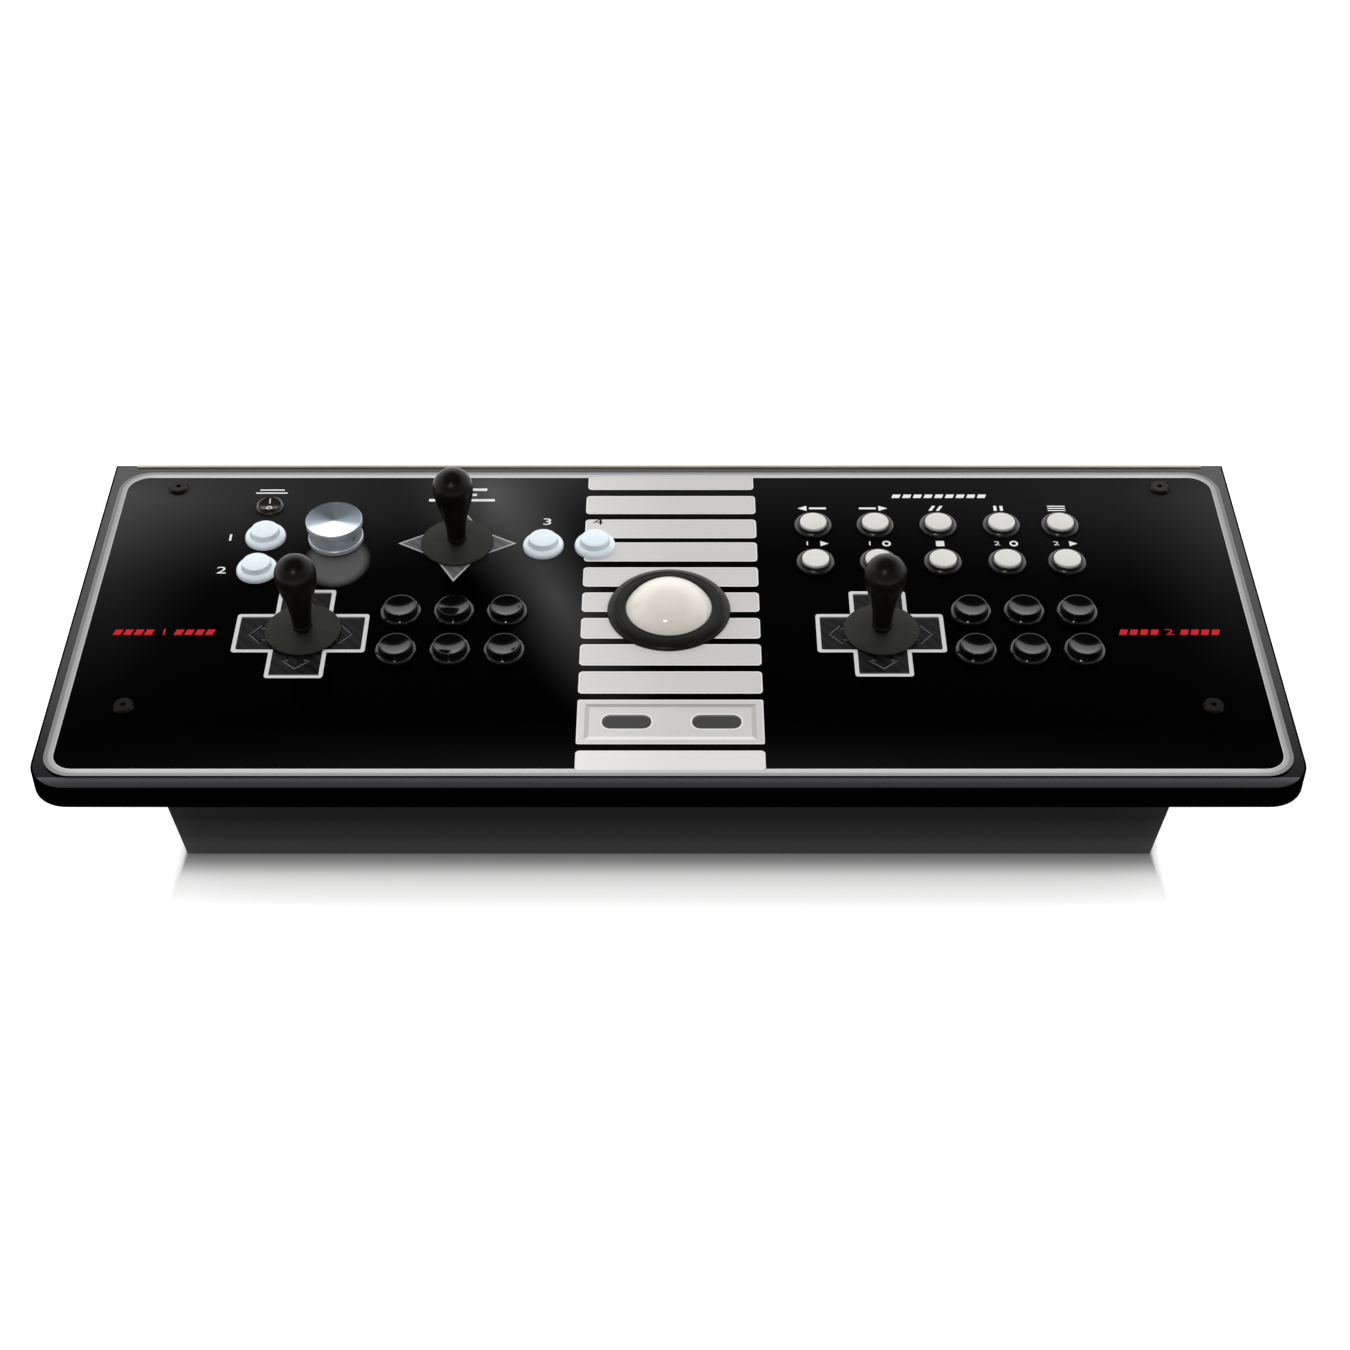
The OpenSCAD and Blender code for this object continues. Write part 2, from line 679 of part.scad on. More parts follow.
module trackball_housing() {
    plate_w = 140;
    plate_t = 3;
    inner = housing - 2 * housing_wall;
    color([0.1, 0.1, 0.1]) translate([ball_at[0], ball_at[1], 0]) difference() {
        union() {
            difference() {
                translate([-housing / 2, -housing / 2, box_h - housing_depth])
                    cube([housing, housing, housing_depth]);
                translate([-inner / 2, -inner / 2, box_h - housing_depth + housing_wall])
                    cube([inner, inner, housing_depth - housing_wall - plate_t]);
            }
            translate([-plate_w / 2, -housing / 2, box_h - plate_t]) cube([plate_w, housing, plate_t]);
            translate([0, 0, ball_z]) {
                translate([-28, -roller_out, 0]) axle_post();
                translate([-roller_out, -28, 0]) rotate([0, 0, 90]) axle_post();
            }
            rotate([0, 0, 45]) idler_fork();
        }
        translate([0, 0, box_h - plate_t - 1]) cylinder(r = ball_r + 1.4, h = through);
        translate([0, 0, ball_z - roller_drop]) {
            translate([-40, -roller_out, 0]) rotate([0, 90, 0])
                cylinder(r = axle_r + pilot_gap / 2, h = housing / 2 + 38.5);
            translate([-roller_out, -40, 0]) rotate([-90, 0, 0])
                cylinder(r = axle_r + pilot_gap / 2, h = housing / 2 + 38.5);
        }
        for (x = [-62, 62], y = [-40, 40])
            translate([x, y, box_h - plate_t - 1]) cylinder(r = screw_r + pilot_gap, h = plate_t + 2);
    }
    color([0.6, 0.6, 0.6]) translate([ball_at[0], ball_at[1], ball_z - roller_drop])
        rotate([0, 0, 45]) translate([roller_out + 0.1, 0, 0]) rotate([90, 0, 0]) difference() {
            cylinder(r = roller_r, h = 5, center = true);
            cylinder(r = idler_pin_r + pilot_gap, h = 6, center = true);
        }
}

module trackball() {
    color([0.93, 0.92, 0.88]) translate([ball_at[0], ball_at[1], ball_z]) sphere(ball_r);
}

// A roller lying along X with its axle and toothed encoder disc
module roller() {
    disc_at = 38;
    disc_r = 10;
    disc_t = 1.5;
    difference() {
        union() {
            rotate([0, 90, 0]) cylinder(r = roller_r, h = 36, center = true);
            translate([-33, 0, 0]) rotate([0, 90, 0]) cylinder(r = axle_r, h = 33 + housing / 2 - 2);
            translate([disc_at, 0, 0]) rotate([0, 90, 0]) cylinder(r = disc_r, h = disc_t);
        }
        for (turn = [0:30:330])
            rotate([turn, 0, 0]) translate([disc_at - 1, -0.8, disc_r - 3]) cube([disc_t + 2, 1.6, 4]);
    }
}

module roller_x() {
    color([0.7, 0.7, 0.7])
        translate([ball_at[0], ball_at[1] - roller_out, ball_z - roller_drop]) roller();
}

module roller_y() {
    color([0.7, 0.7, 0.7])
        translate([ball_at[0] - roller_out, ball_at[1], ball_z - roller_drop])
            rotate([0, 0, 90]) roller();
}

// ---- spinner ----

// Bearing bush through the deck, its flange and the arm that carries the slot sensor
module spinner_bearing() {
    flange = 44;
    flange_t = 3;
    disc_z = box_h - disc_drop;
    color([0.12, 0.12, 0.12]) translate([spinner_at[0], spinner_at[1], 0]) difference() {
        union() {
            translate([0, 0, box_h - 20]) cylinder(r = bush_r, h = top + 0.9 - box_h + 20);
            translate([-flange / 2, -flange / 2, box_h - flange_t]) cube([flange, flange, flange_t]);
            translate([19, -6, disc_z - 5]) cube([3, 12, disc_drop + 5 - flange_t + 0.1]);
            translate([12, -6, disc_z - 5]) cube([8, 12, 11]);
        }
        translate([0, 0, box_h - through]) cylinder(r = spindle_r + 0.08, h = 2 * through);
        translate([-1, -7, disc_z - 1]) cube([19, 14, 3.5]);
        for (x = [-17, 17], y = [-17, 17])
            translate([x, y, box_h - flange_t - 1]) cylinder(r = screw_r + pilot_gap, h = flange_t + 2);
    }
}

module spinner_knob() {
    waist_low = 5;
    waist_high = spinner_h - 5.5;
    set_screw_z = 11;
    disc_z = box_h - disc_drop;
    spindle_top = top + knob_lift + spinner_h - 4;
    translate([spinner_at[0], spinner_at[1], 0]) {
        color([0.78, 0.79, 0.8]) difference() {
            translate([0, 0, top + knob_lift]) rotate_extrude() polygon([
                [0, 0], [spinner_r - 1.5, 0], [spinner_r - 0.5, 1], [spinner_r - 0.5, waist_low - 0.6],
                [spinner_r - 1.4, waist_low], [spinner_r - 1.4, waist_high],
                [spinner_r, waist_high + 0.6], [spinner_r, spinner_h - 0.5],
                [spinner_r - 0.5, spinner_h], [0, spinner_h]
            ]);
            translate([0, 0, top - 1]) cylinder(r = spindle_r + 0.05, h = spindle_top - top + 1);
            for (turn = [-58, 52])
                rotate([0, 0, turn]) translate([0, 0, top + knob_lift + set_screw_z]) rotate([90, 0, 0])
                    cylinder(r = 1.8, h = spinner_r + 1);
        }
        color([0.6, 0.6, 0.6]) union() {
            translate([0, 0, disc_z - 3]) cylinder(r = spindle_r, h = spindle_top - disc_z + 3);
            translate([0, 0, disc_z]) cylinder(r = 16, h = 1.5);
        }
    }
}

// ---- rocker switch ----

module rocker_body() {
    depth = 26;
    color([0.1, 0.08, 0.07]) translate([rocker_at[0], rocker_at[1], 0]) {
        difference() {
            union() {
                translate([0, 0, top]) rotate_extrude() polygon([
                    [0, -depth], [rocker_barrel_r, -depth], [rocker_barrel_r, 0], [rocker_r, 0],
                    [rocker_r, 1.6], [rocker_r - 0.8, 3], [rocker_ball_r + 0.9, 3.6], [0, 3.6]
                ]);
            }
            translate([0, 0, top - 9]) cylinder(r = rocker_ball_r + gap, h = 20);
            translate([-rocker_ball_r - 1.4, 0, rocker_z]) rotate([0, 90, 0])
                cylinder(r = 1 + pilot_gap, h = 2 * rocker_ball_r + 2.8);
        }
        for (y = [-5, 5])
            translate([-blade[1] / 2, y, top - depth - blade[2]]) cube([blade[1], blade[0], blade[2]]);
    }
}

// The paddle is a slice of a ball, dished along its middle, resting on its front half
module rocker_paddle() {
    color([0.1, 0.08, 0.07]) translate([rocker_at[0], rocker_at[1], rocker_z])
        rotate([rocker_rest, 0, 0]) {
            intersection() {
                sphere(rocker_ball_r);
                translate([-rocker_ball_r, 0, 0]) rotate([90, 0, 90]) linear_extrude(2 * rocker_ball_r)
                    polygon([[-9, -5], [9, -5], [9, 4], [7.5, 4], [3, 2.2], [0, 1.8], [-3, 2.2],
                        [-7.5, 4], [-9, 4]]);
            }
            rotate([0, 90, 0]) cylinder(r = 1, h = 2 * rocker_ball_r + 2, center = true);
        }
}

// ---- electronics ----

module control_board() {
    color([0.05, 0.3, 0.15]) translate([board_at[0], board_at[1], 0]) difference() {
        union() {
            translate([-board[0] / 2, -board[1] / 2, board_z]) cube(board);
            for (x = [-1, 1], y = [-1, 1])
                translate([x * (board[0] / 2 - 5), y * (board[1] / 2 - 5), floor_top])
                    cylinder(r = 3, h = board_z - floor_top + 0.1);
        }
        for (x = [-1, 1], y = [-1, 1])
            translate([x * (board[0] / 2 - 5), y * (board[1] / 2 - 5), floor_top - 1])
                cylinder(r = 1.5, h = 20);
    }
    color([0.15, 0.15, 0.15]) translate([board_at[0], board_at[1], board_z + board[2]]) {
        translate([-12, -12, 0]) cube([14, 14, 1.6]);
        translate([18, -6, 0]) cube([10, 6, 1.6]);
        translate([-6, board[1] / 2 - 12, 0]) cube([12, 14, 5]);
        for (y = [-1, 1])
            translate([-45, y * 25 - 4, 0]) cube([38, 8, 9]);
        translate([10, -29, 0]) cube([38, 8, 9]);
    }
}

// ---- drawing ----

deck_board();
graphic_overlay();
edge_molding();
base_box();
base_floor();
rubber_feet();
fasteners();
panel_nuts();
black_bezels();
white_bezels();
microswitches();
joystick_bases();
trackball_housing();
trackball_ring();
spinner_bearing();
rocker_body();
control_board();
for (i = [1:len(action_at)])
    action_plunger(action_at[i - 1]);
for (i = [1:len(white_at)])
    white_plunger(white_at[i - 1]);
for (i = [1:len(menu_at)])
    menu_plunger(menu_at[i - 1]);
for (i = [1:len(stick_at)])
    pivot_ball(stick_at[i - 1]);
for (i = [1:len(stick_at)])
    stick(stick_at[i - 1]);
for (i = [1:len(stick_at)])
    slip_washer(stick_at[i - 1]);
for (i = [1:len(stick_at)])
    dust_washer(stick_at[i - 1]);
trackball();
roller_x();
roller_y();
spinner_knob();
rocker_paddle();
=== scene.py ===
"""Looks for a two-player arcade joystick panel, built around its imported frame."""
import json
import math

import bmesh
import bpy
from mathutils import Matrix, Vector
from mathutils.geometry import tessellate_polygon

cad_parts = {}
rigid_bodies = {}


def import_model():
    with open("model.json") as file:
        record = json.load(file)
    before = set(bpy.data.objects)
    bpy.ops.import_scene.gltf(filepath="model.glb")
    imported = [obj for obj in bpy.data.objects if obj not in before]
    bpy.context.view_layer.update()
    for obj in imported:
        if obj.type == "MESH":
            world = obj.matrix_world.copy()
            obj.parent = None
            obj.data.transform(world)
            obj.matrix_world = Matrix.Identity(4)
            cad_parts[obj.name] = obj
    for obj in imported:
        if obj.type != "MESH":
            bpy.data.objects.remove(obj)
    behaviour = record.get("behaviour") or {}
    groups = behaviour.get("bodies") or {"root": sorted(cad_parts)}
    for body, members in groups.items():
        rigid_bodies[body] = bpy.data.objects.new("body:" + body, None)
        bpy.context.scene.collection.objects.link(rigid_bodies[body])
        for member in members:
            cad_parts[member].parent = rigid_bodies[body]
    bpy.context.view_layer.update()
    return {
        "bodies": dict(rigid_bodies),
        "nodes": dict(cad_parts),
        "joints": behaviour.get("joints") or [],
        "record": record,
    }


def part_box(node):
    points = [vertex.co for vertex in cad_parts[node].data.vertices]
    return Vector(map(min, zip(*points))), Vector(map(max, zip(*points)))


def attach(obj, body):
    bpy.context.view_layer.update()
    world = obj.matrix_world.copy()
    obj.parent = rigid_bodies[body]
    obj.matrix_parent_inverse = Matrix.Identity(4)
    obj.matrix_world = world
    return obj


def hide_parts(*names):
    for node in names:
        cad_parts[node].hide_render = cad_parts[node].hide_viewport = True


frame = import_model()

MM = 0.001
scene = bpy.context.scene

# ---- camera ----

camera = bpy.data.objects.new("camera", bpy.data.cameras.new("camera"))
camera.data.lens = 62.2
camera.data.sensor_width = 36
camera.location = (0.0048, -1.370, 1.310)
camera.rotation_euler = (math.radians(47.5), 0, 0)
scene.collection.objects.link(camera)
scene.camera = camera
scene.view_settings.view_transform = "Standard"

# ---- places, in millimetres, read from the frame ----


def span(node):
    """A node's lowest and highest corners in millimetres."""
    low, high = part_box(node)
    return low / MM, high / MM


def middle(node):
    low, high = span(node)
    return (low + high) / 2


def numbered(stem):
    """The nodes of one kind, in their order."""
    found = [n for n in frame["nodes"] if n.rpartition("_")[0] == stem and n[-1].isdigit()]
    return sorted(found, key=lambda n: int(n.rpartition("_")[2]))


OVERLAY_LOW, OVERLAY_HIGH = span("graphic_overlay")
TOP = OVERLAY_HIGH.z
DECK_LOW, DECK_HIGH = span("edge_molding")
BOX_LOW, BOX_HIGH = span("base_box")
BOX_FOOT = -145.1   # the front wall's foot, set back from its top
PAINTED_REFLECTION_LENGTH = 68  # how far in front of the foot the floor's painted reflection of the box reaches
ACTION = numbered("action_plunger")
WHITE = numbered("white_plunger")
MENU = numbered("menu_plunger")
STICKS = numbered("stick")
DUST_WASHERS = numbered("dust_washer")
BALL = middle("trackball")
BALL_R = (span("trackball")[1].x - span("trackball")[0].x) / 2
KNOB_LOW, KNOB_HIGH = span("spinner_knob")
KNOB = middle("spinner_knob")
KNOB_R = (KNOB_HIGH.x - KNOB_LOW.x) / 2
ROCKER = middle("rocker_body")

# ---- finishes ----


def tone(red, green, blue):
    """A colour given in display steps from 0 to 255, as linear light."""
    def linear(step):
        v = step / 255
        return v / 12.92 if v <= 0.04045 else ((v + 0.055) / 1.055) ** 2.4
    return (linear(red), linear(green), linear(blue), 1)


def add(tree, kind, settings=(), **inputs):
    """A node with its settings and the values of its unlinked inputs."""
    made = tree.nodes.new(kind)
    for name, value in dict(settings).items():
        setattr(made, name, value)
    for name, value in inputs.items():
        made.inputs[name.replace("_", " ")].default_value = value
    return made


def link(tree, source, output, target, socket):
    tree.links.new(source.outputs[output], target.inputs[socket])


def blank_finish(name, roughness=0.5, metallic=0.0, **fixed):
    """A new material, its tree, its shader and its object coordinates."""
    material = bpy.data.materials.new(name)
    material.use_nodes = True
    tree = material.node_tree
    shader = tree.nodes["Principled BSDF"]
    shader.inputs["Roughness"].default_value = roughness
    shader.inputs["Metallic"].default_value = metallic
    for socket, value in fixed.items():
        shader.inputs[socket.replace("_", " ")].default_value = value
    place = add(tree, "ShaderNodeTexCoord")
    return material, tree, shader, place


def colour_between(tree, factor, output, stops, shader, socket="Base Color"):
    """Runs a factor through colour stops into a shader socket."""
    ramp = add(tree, "ShaderNodeValToRGB")
    ramp.color_ramp.elements[0].position, ramp.color_ramp.elements[0].color = stops[0]
    ramp.color_ramp.elements[1].position, ramp.color_ramp.elements[1].color = stops[-1]
    for at, colour in stops[1:-1]:
        ramp.color_ramp.elements.new(at).color = colour
    link(tree, factor, output, ramp, "Fac")
    link(tree, ramp, "Color", shader, socket)
    return ramp


def along_axis(tree, place, axis, low, high, both_ways=False, unit=MM, output="Object"):
    """How far a point is from low to high along an axis, from 0 to 1; both_ways counts from the middle."""
    parts = add(tree, "ShaderNodeSeparateXYZ")
    link(tree, place, output, parts, "Vector")
    reach = add(tree, "ShaderNodeMapRange", From_Min=low * unit, From_Max=high * unit)
    if both_ways:
        out = add(tree, "ShaderNodeMath", {"operation": "ABSOLUTE"})
        link(tree, parts, axis, out, 0)
        link(tree, out, "Value", reach, "Value")
    else:
        link(tree, parts, axis, reach, "Value")
    return reach


def surface_grain(tree, shader, place, scale, depth, rough, detail=3.0):
    """A fine grain: bumps of that depth in metres, and roughness between two values."""
    noise = add(tree, "ShaderNodeTexNoise", Scale=scale, Detail=detail)
    link(tree, place, "Object", noise, "Vector")
    bump = add(tree, "ShaderNodeBump", Strength=1.0, Distance=depth)
    link(tree, noise, "Fac", bump, "Height")
    link(tree, bump, "Normal", shader, "Normal")
    spread = add(tree, "ShaderNodeMapRange", To_Min=rough[0], To_Max=rough[1])
    link(tree, noise, "Fac", spread, "Value")
    link(tree, spread, "Result", shader, "Roughness")
    return noise


def moulded(name, dark, light, rough, grain=900, depth=0.00002, patch=25, **fixed):
    """A moulded, painted or cast finish: fine grain and slow patches of two near tones."""
    material, tree, shader, place = blank_finish(name, **fixed)
    surface_grain(tree, shader, place, grain, depth, rough)
    patches = add(tree, "ShaderNodeTexNoise", Scale=patch, Detail=4.0)
    link(tree, place, "Object", patches, "Vector")
    colour_between(tree, patches, "Fac", [(0.35, dark), (0.65, light)], shader)
    return material


def turned_metal(name, dark, light, centre, pitch, sheen, rough=0.25, anisotropy=0.7):
    """Metal turned about an upright axis through centre: fine rings, and a painted sheen round that axis."""
    material, tree, shader, place = blank_finish(name, rough, 0.7, Anisotropic=anisotropy)
    centred = add(tree, "ShaderNodeMapping", {"vector_type": "POINT"})
    centred.inputs["Location"].default_value = [-c * MM for c in centre[:2]] + [0]
    link(tree, place, "Object", centred, "Vector")
    rings = add(tree, "ShaderNodeTexWave", {"wave_type": "RINGS", "rings_direction": "SPHERICAL"},
                Scale=1 / (pitch * MM) / 20, Distortion=0.4, Detail=2.0)
    flat = add(tree, "ShaderNodeVectorMath", {"operation": "MULTIPLY"})
    flat.inputs[1].default_value = (1, 1, 0)
    link(tree, centred, "Vector", flat, 0)
    link(tree, flat, "Vector", rings, "Vector")
    bump = add(tree, "ShaderNodeBump", Strength=0.25, Distance=0.00001)
    link(tree, rings, "Fac", bump, "Height")
    link(tree, bump, "Normal", shader, "Normal")
    # Painted sheen: the colour follows the turn round the axis.
    angle = add(tree, "ShaderNodeTexGradient", {"gradient_type": "RADIAL"})
    link(tree, centred, "Vector", angle, "Vector")
    tones = add(tree, "ShaderNodeMix", {"data_type": "RGBA", "blend_type": "MULTIPLY"})
    tones.inputs["Factor"].default_value = 1.0
    colour_between(tree, rings, "Fac", [(0.2, dark), (0.8, light)], tones, "A")
    colour_between(tree, angle, "Fac", sheen, tones, "B")
    link(tree, tones, "Result", shader, "Base Color")
    round_axis = add(tree, "ShaderNodeVectorMath", {"operation": "CROSS_PRODUCT"})
    round_axis.inputs[1].default_value = (0, 0, 1)
    link(tree, flat, "Vector", round_axis, 0)
    link(tree, round_axis, "Vector", shader, "Tangent")
    return material


def painted_sheen_patch(tree, place, centre, reach, strength, turn=0, kind="QUADRATIC_SPHERE"):
    """A soft round patch of painted sheen: 0 outside its reach and strength at its centre."""
    spot = add(tree, "ShaderNodeMapping", {"vector_type": "TEXTURE"})
    spot.inputs["Location"].default_value = [c * MM for c in centre] + [TOP * MM]
    spot.inputs["Rotation"].default_value = (0, 0, math.radians(turn))
    spot.inputs["Scale"].default_value = [r * MM for r in reach] + [1]
    link(tree, place, "Object", spot, "Vector")
    ball = add(tree, "ShaderNodeTexGradient", {"gradient_type": kind})
    link(tree, spot, "Vector", ball, "Vector")
    scaled = add(tree, "ShaderNodeMath", {"operation": "MULTIPLY"})
    scaled.inputs[1].default_value = strength
    link(tree, ball, "Fac", scaled, 0)
    return scaled


def overlay_print_painted_sheen(name):
    """Gloss black print with a soft grey painted sheen near its back corners, its front edge and beside the
    stripes (there partly print), and a painted reflection of the knob.
    """
    material, tree, shader, place = blank_finish(name, Specular_IOR_Level=0.004)
    # Painted sheen: soft grey patches at the back corners, the back middle and the front edge, and beside
    # the stripes, where it is partly print.
    painted_sheens = [((-440, 150), (420, 140), 0.042), ((-450, 110), (110, 260), 0.024),
             ((440, 150), (400, 150), 0.02), ((450, 110), (100, 260), 0.018),
             ((-145, 150), (80, 150), 0.07, 22), ((-88, 20), (56, 200), 0.05, 22),
             ((-90, 178), (90, 90), 0.018), ((0, 210), (520, 170), 0.018), ((0, -190), (700, 75), 0.012)]
    # Painted reflection of the spinner knob, on the overlay just in front of it.
    painted_knob_reflection = painted_sheen_patch(tree, place, (KNOB.x + 3, KNOB.y - 25), (27, 33), 0.42, 0, "SPHERICAL")
    total = add(tree, "ShaderNodeMath", {"operation": "MINIMUM"})
    total.inputs[1].default_value = 0.105
    link(tree, painted_knob_reflection, "Value", total, 0)
    for glow in painted_sheens:
        patch = painted_sheen_patch(tree, place, *glow)
        both = add(tree, "ShaderNodeMath", {"operation": "ADD"})
        link(tree, total, "Value", both, 0)
        link(tree, patch, "Value", both, 1)
        total = both
    colour_between(tree, total, "Value", [(0, (0.0002, 0.0002, 0.0002, 1)), (1, (1, 1, 1, 1))], shader)
    surface_grain(tree, shader, place, 300, 0.000004, (0.12, 0.2))
    return material


def stripe_print(name, left, right):
    """Silver print, a little lighter towards its left end."""
    material, tree, shader, place = blank_finish(name, Specular_IOR_Level=0.08)
    surface_grain(tree, shader, place, 1500, 0.000004, (0.32, 0.4))
    along = along_axis(tree, place, "X", -72, 72)
    colour_between(tree, along, "Result", [(0, left), (0.55, right), (1, right)], shader)
    return material


def border_print_painted_shade(name, middle_tone, shaded_end_tone):
    """Silver print of the overlay's border, with painted shade darkening it along the panel's two ends."""
    material, tree, shader, place = blank_finish(name, Specular_IOR_Level=0.08)
    surface_grain(tree, shader, place, 1500, 0.000004, (0.32, 0.4))
    # Painted shade: the print's tone falls towards both ends of the panel.
    along = along_axis(tree, place, "X", 425, 452, both_ways=True)
    colour_between(tree, along, "Result", [(0, middle_tone), (1, shaded_end_tone)], shader)
    return material


def hatched_print(name, dark, light, pitch):
    """Dark print crossed by fine slanting lines."""
    material, tree, shader, place = blank_finish(name, Specular_IOR_Level=0.08)
    lines = add(tree, "ShaderNodeTexWave", {"wave_type": "BANDS", "bands_direction": "DIAGONAL"},
                Scale=1 / (pitch * MM) / 20, Distortion=0.0)
    link(tree, place, "Object", lines, "Vector")
    colour_between(tree, lines, "Fac", [(0.3, dark), (0.7, light)], shader)
    surface_grain(tree, shader, place, 1500, 0.000004, (0.35, 0.45))
    return material


def pressed_board(name, dark, light):
    """Pressed wood-fibre board: short tangled fibres."""
    material, tree, shader, place = blank_finish(name)
    surface_grain(tree, shader, place, 1400, 0.00008, (0.7, 0.85), 6.0)
    fibres = add(tree, "ShaderNodeTexNoise", Scale=420.0, Detail=8.0, Distortion=1.6)
    link(tree, place, "Object", fibres, "Vector")
    colour_between(tree, fibres, "Fac", [(0.3, dark), (0.7, light)], shader)
    return material


def circuit_finish(name):
    """Green solder mask with lighter tracks under it."""
    material, tree, shader, place = blank_finish(name, 0.3, Coat_Weight=0.4)
    tracks = add(tree, "ShaderNodeTexVoronoi", {"feature": "DISTANCE_TO_EDGE", "distance": "MANHATTAN"},
                 Scale=260.0)
    link(tree, place, "Object", tracks, "Vector")
    colour_between(tree, tracks, "Distance",
                   [(0.03, tone(70, 130, 60)), (0.06, tone(14, 66, 36)), (1, tone(12, 58, 32))], shader)
    return material


def black(step):
    return tone(step, step, step)


def laminate_gloss_painted_reflection(name):
    """Gloss black laminate, with a painted grey-blue reflection on the strip in front of the overlay."""
    material, tree, shader, place = blank_finish(name)
    surface_grain(tree, shader, place, 1600, 0.000003, (0.07, 0.11))
    strip = along_axis(tree, place, "Y", DECK_LOW.y, OVERLAY_LOW.y + 0.5)
    # Painted reflection: grey, bluer towards the overlay, on the deck's front strip; plain black elsewhere.
    colour_between(tree, strip, "Result",
                   [(0, black(34)), (0.5, tone(52, 54, 60)), (0.96, tone(84, 85, 90)), (1, black(12))],
                   shader)
    return material


def box_paint_painted_light(name, low, high):
    """Satin black paint, with painted light from the floor making it paler towards the bottom and painted
    shade from the deck darkening it towards the top.
    """
    material, tree, shader, place = blank_finish(name, Specular_IOR_Level=0.02)
    surface_grain(tree, shader, place, 1100, 0.00005, (0.4, 0.52))
    height = along_axis(tree, place, "Z", low, high)
    # Painted light and shade: pale near the floor from the floor's light, dark near the top from the deck's
    # shade.
    colour_between(tree, height, "Result",
                   [(0, black(83)), (0.08, black(65)), (0.3, black(40)), (0.6, black(15)), (1, black(4))],
                   shader)
    return material


# Painted highlight round the knob's face, as parts of a turn from its left side: how light the turned metal
# is painted
PAINTED_FACE_SHEEN = [(0, tone(150, 158, 165)), (0.06, tone(190, 197, 203)), (0.09, tone(244, 248, 251)),
              (0.25, tone(250, 253, 255)), (0.42, tone(238, 243, 247)), (0.47, tone(150, 157, 164)),
              (0.62, tone(120, 128, 136)), (0.75, tone(172, 179, 185)), (0.88, tone(124, 131, 138)),
              (1, tone(150, 158, 165))]

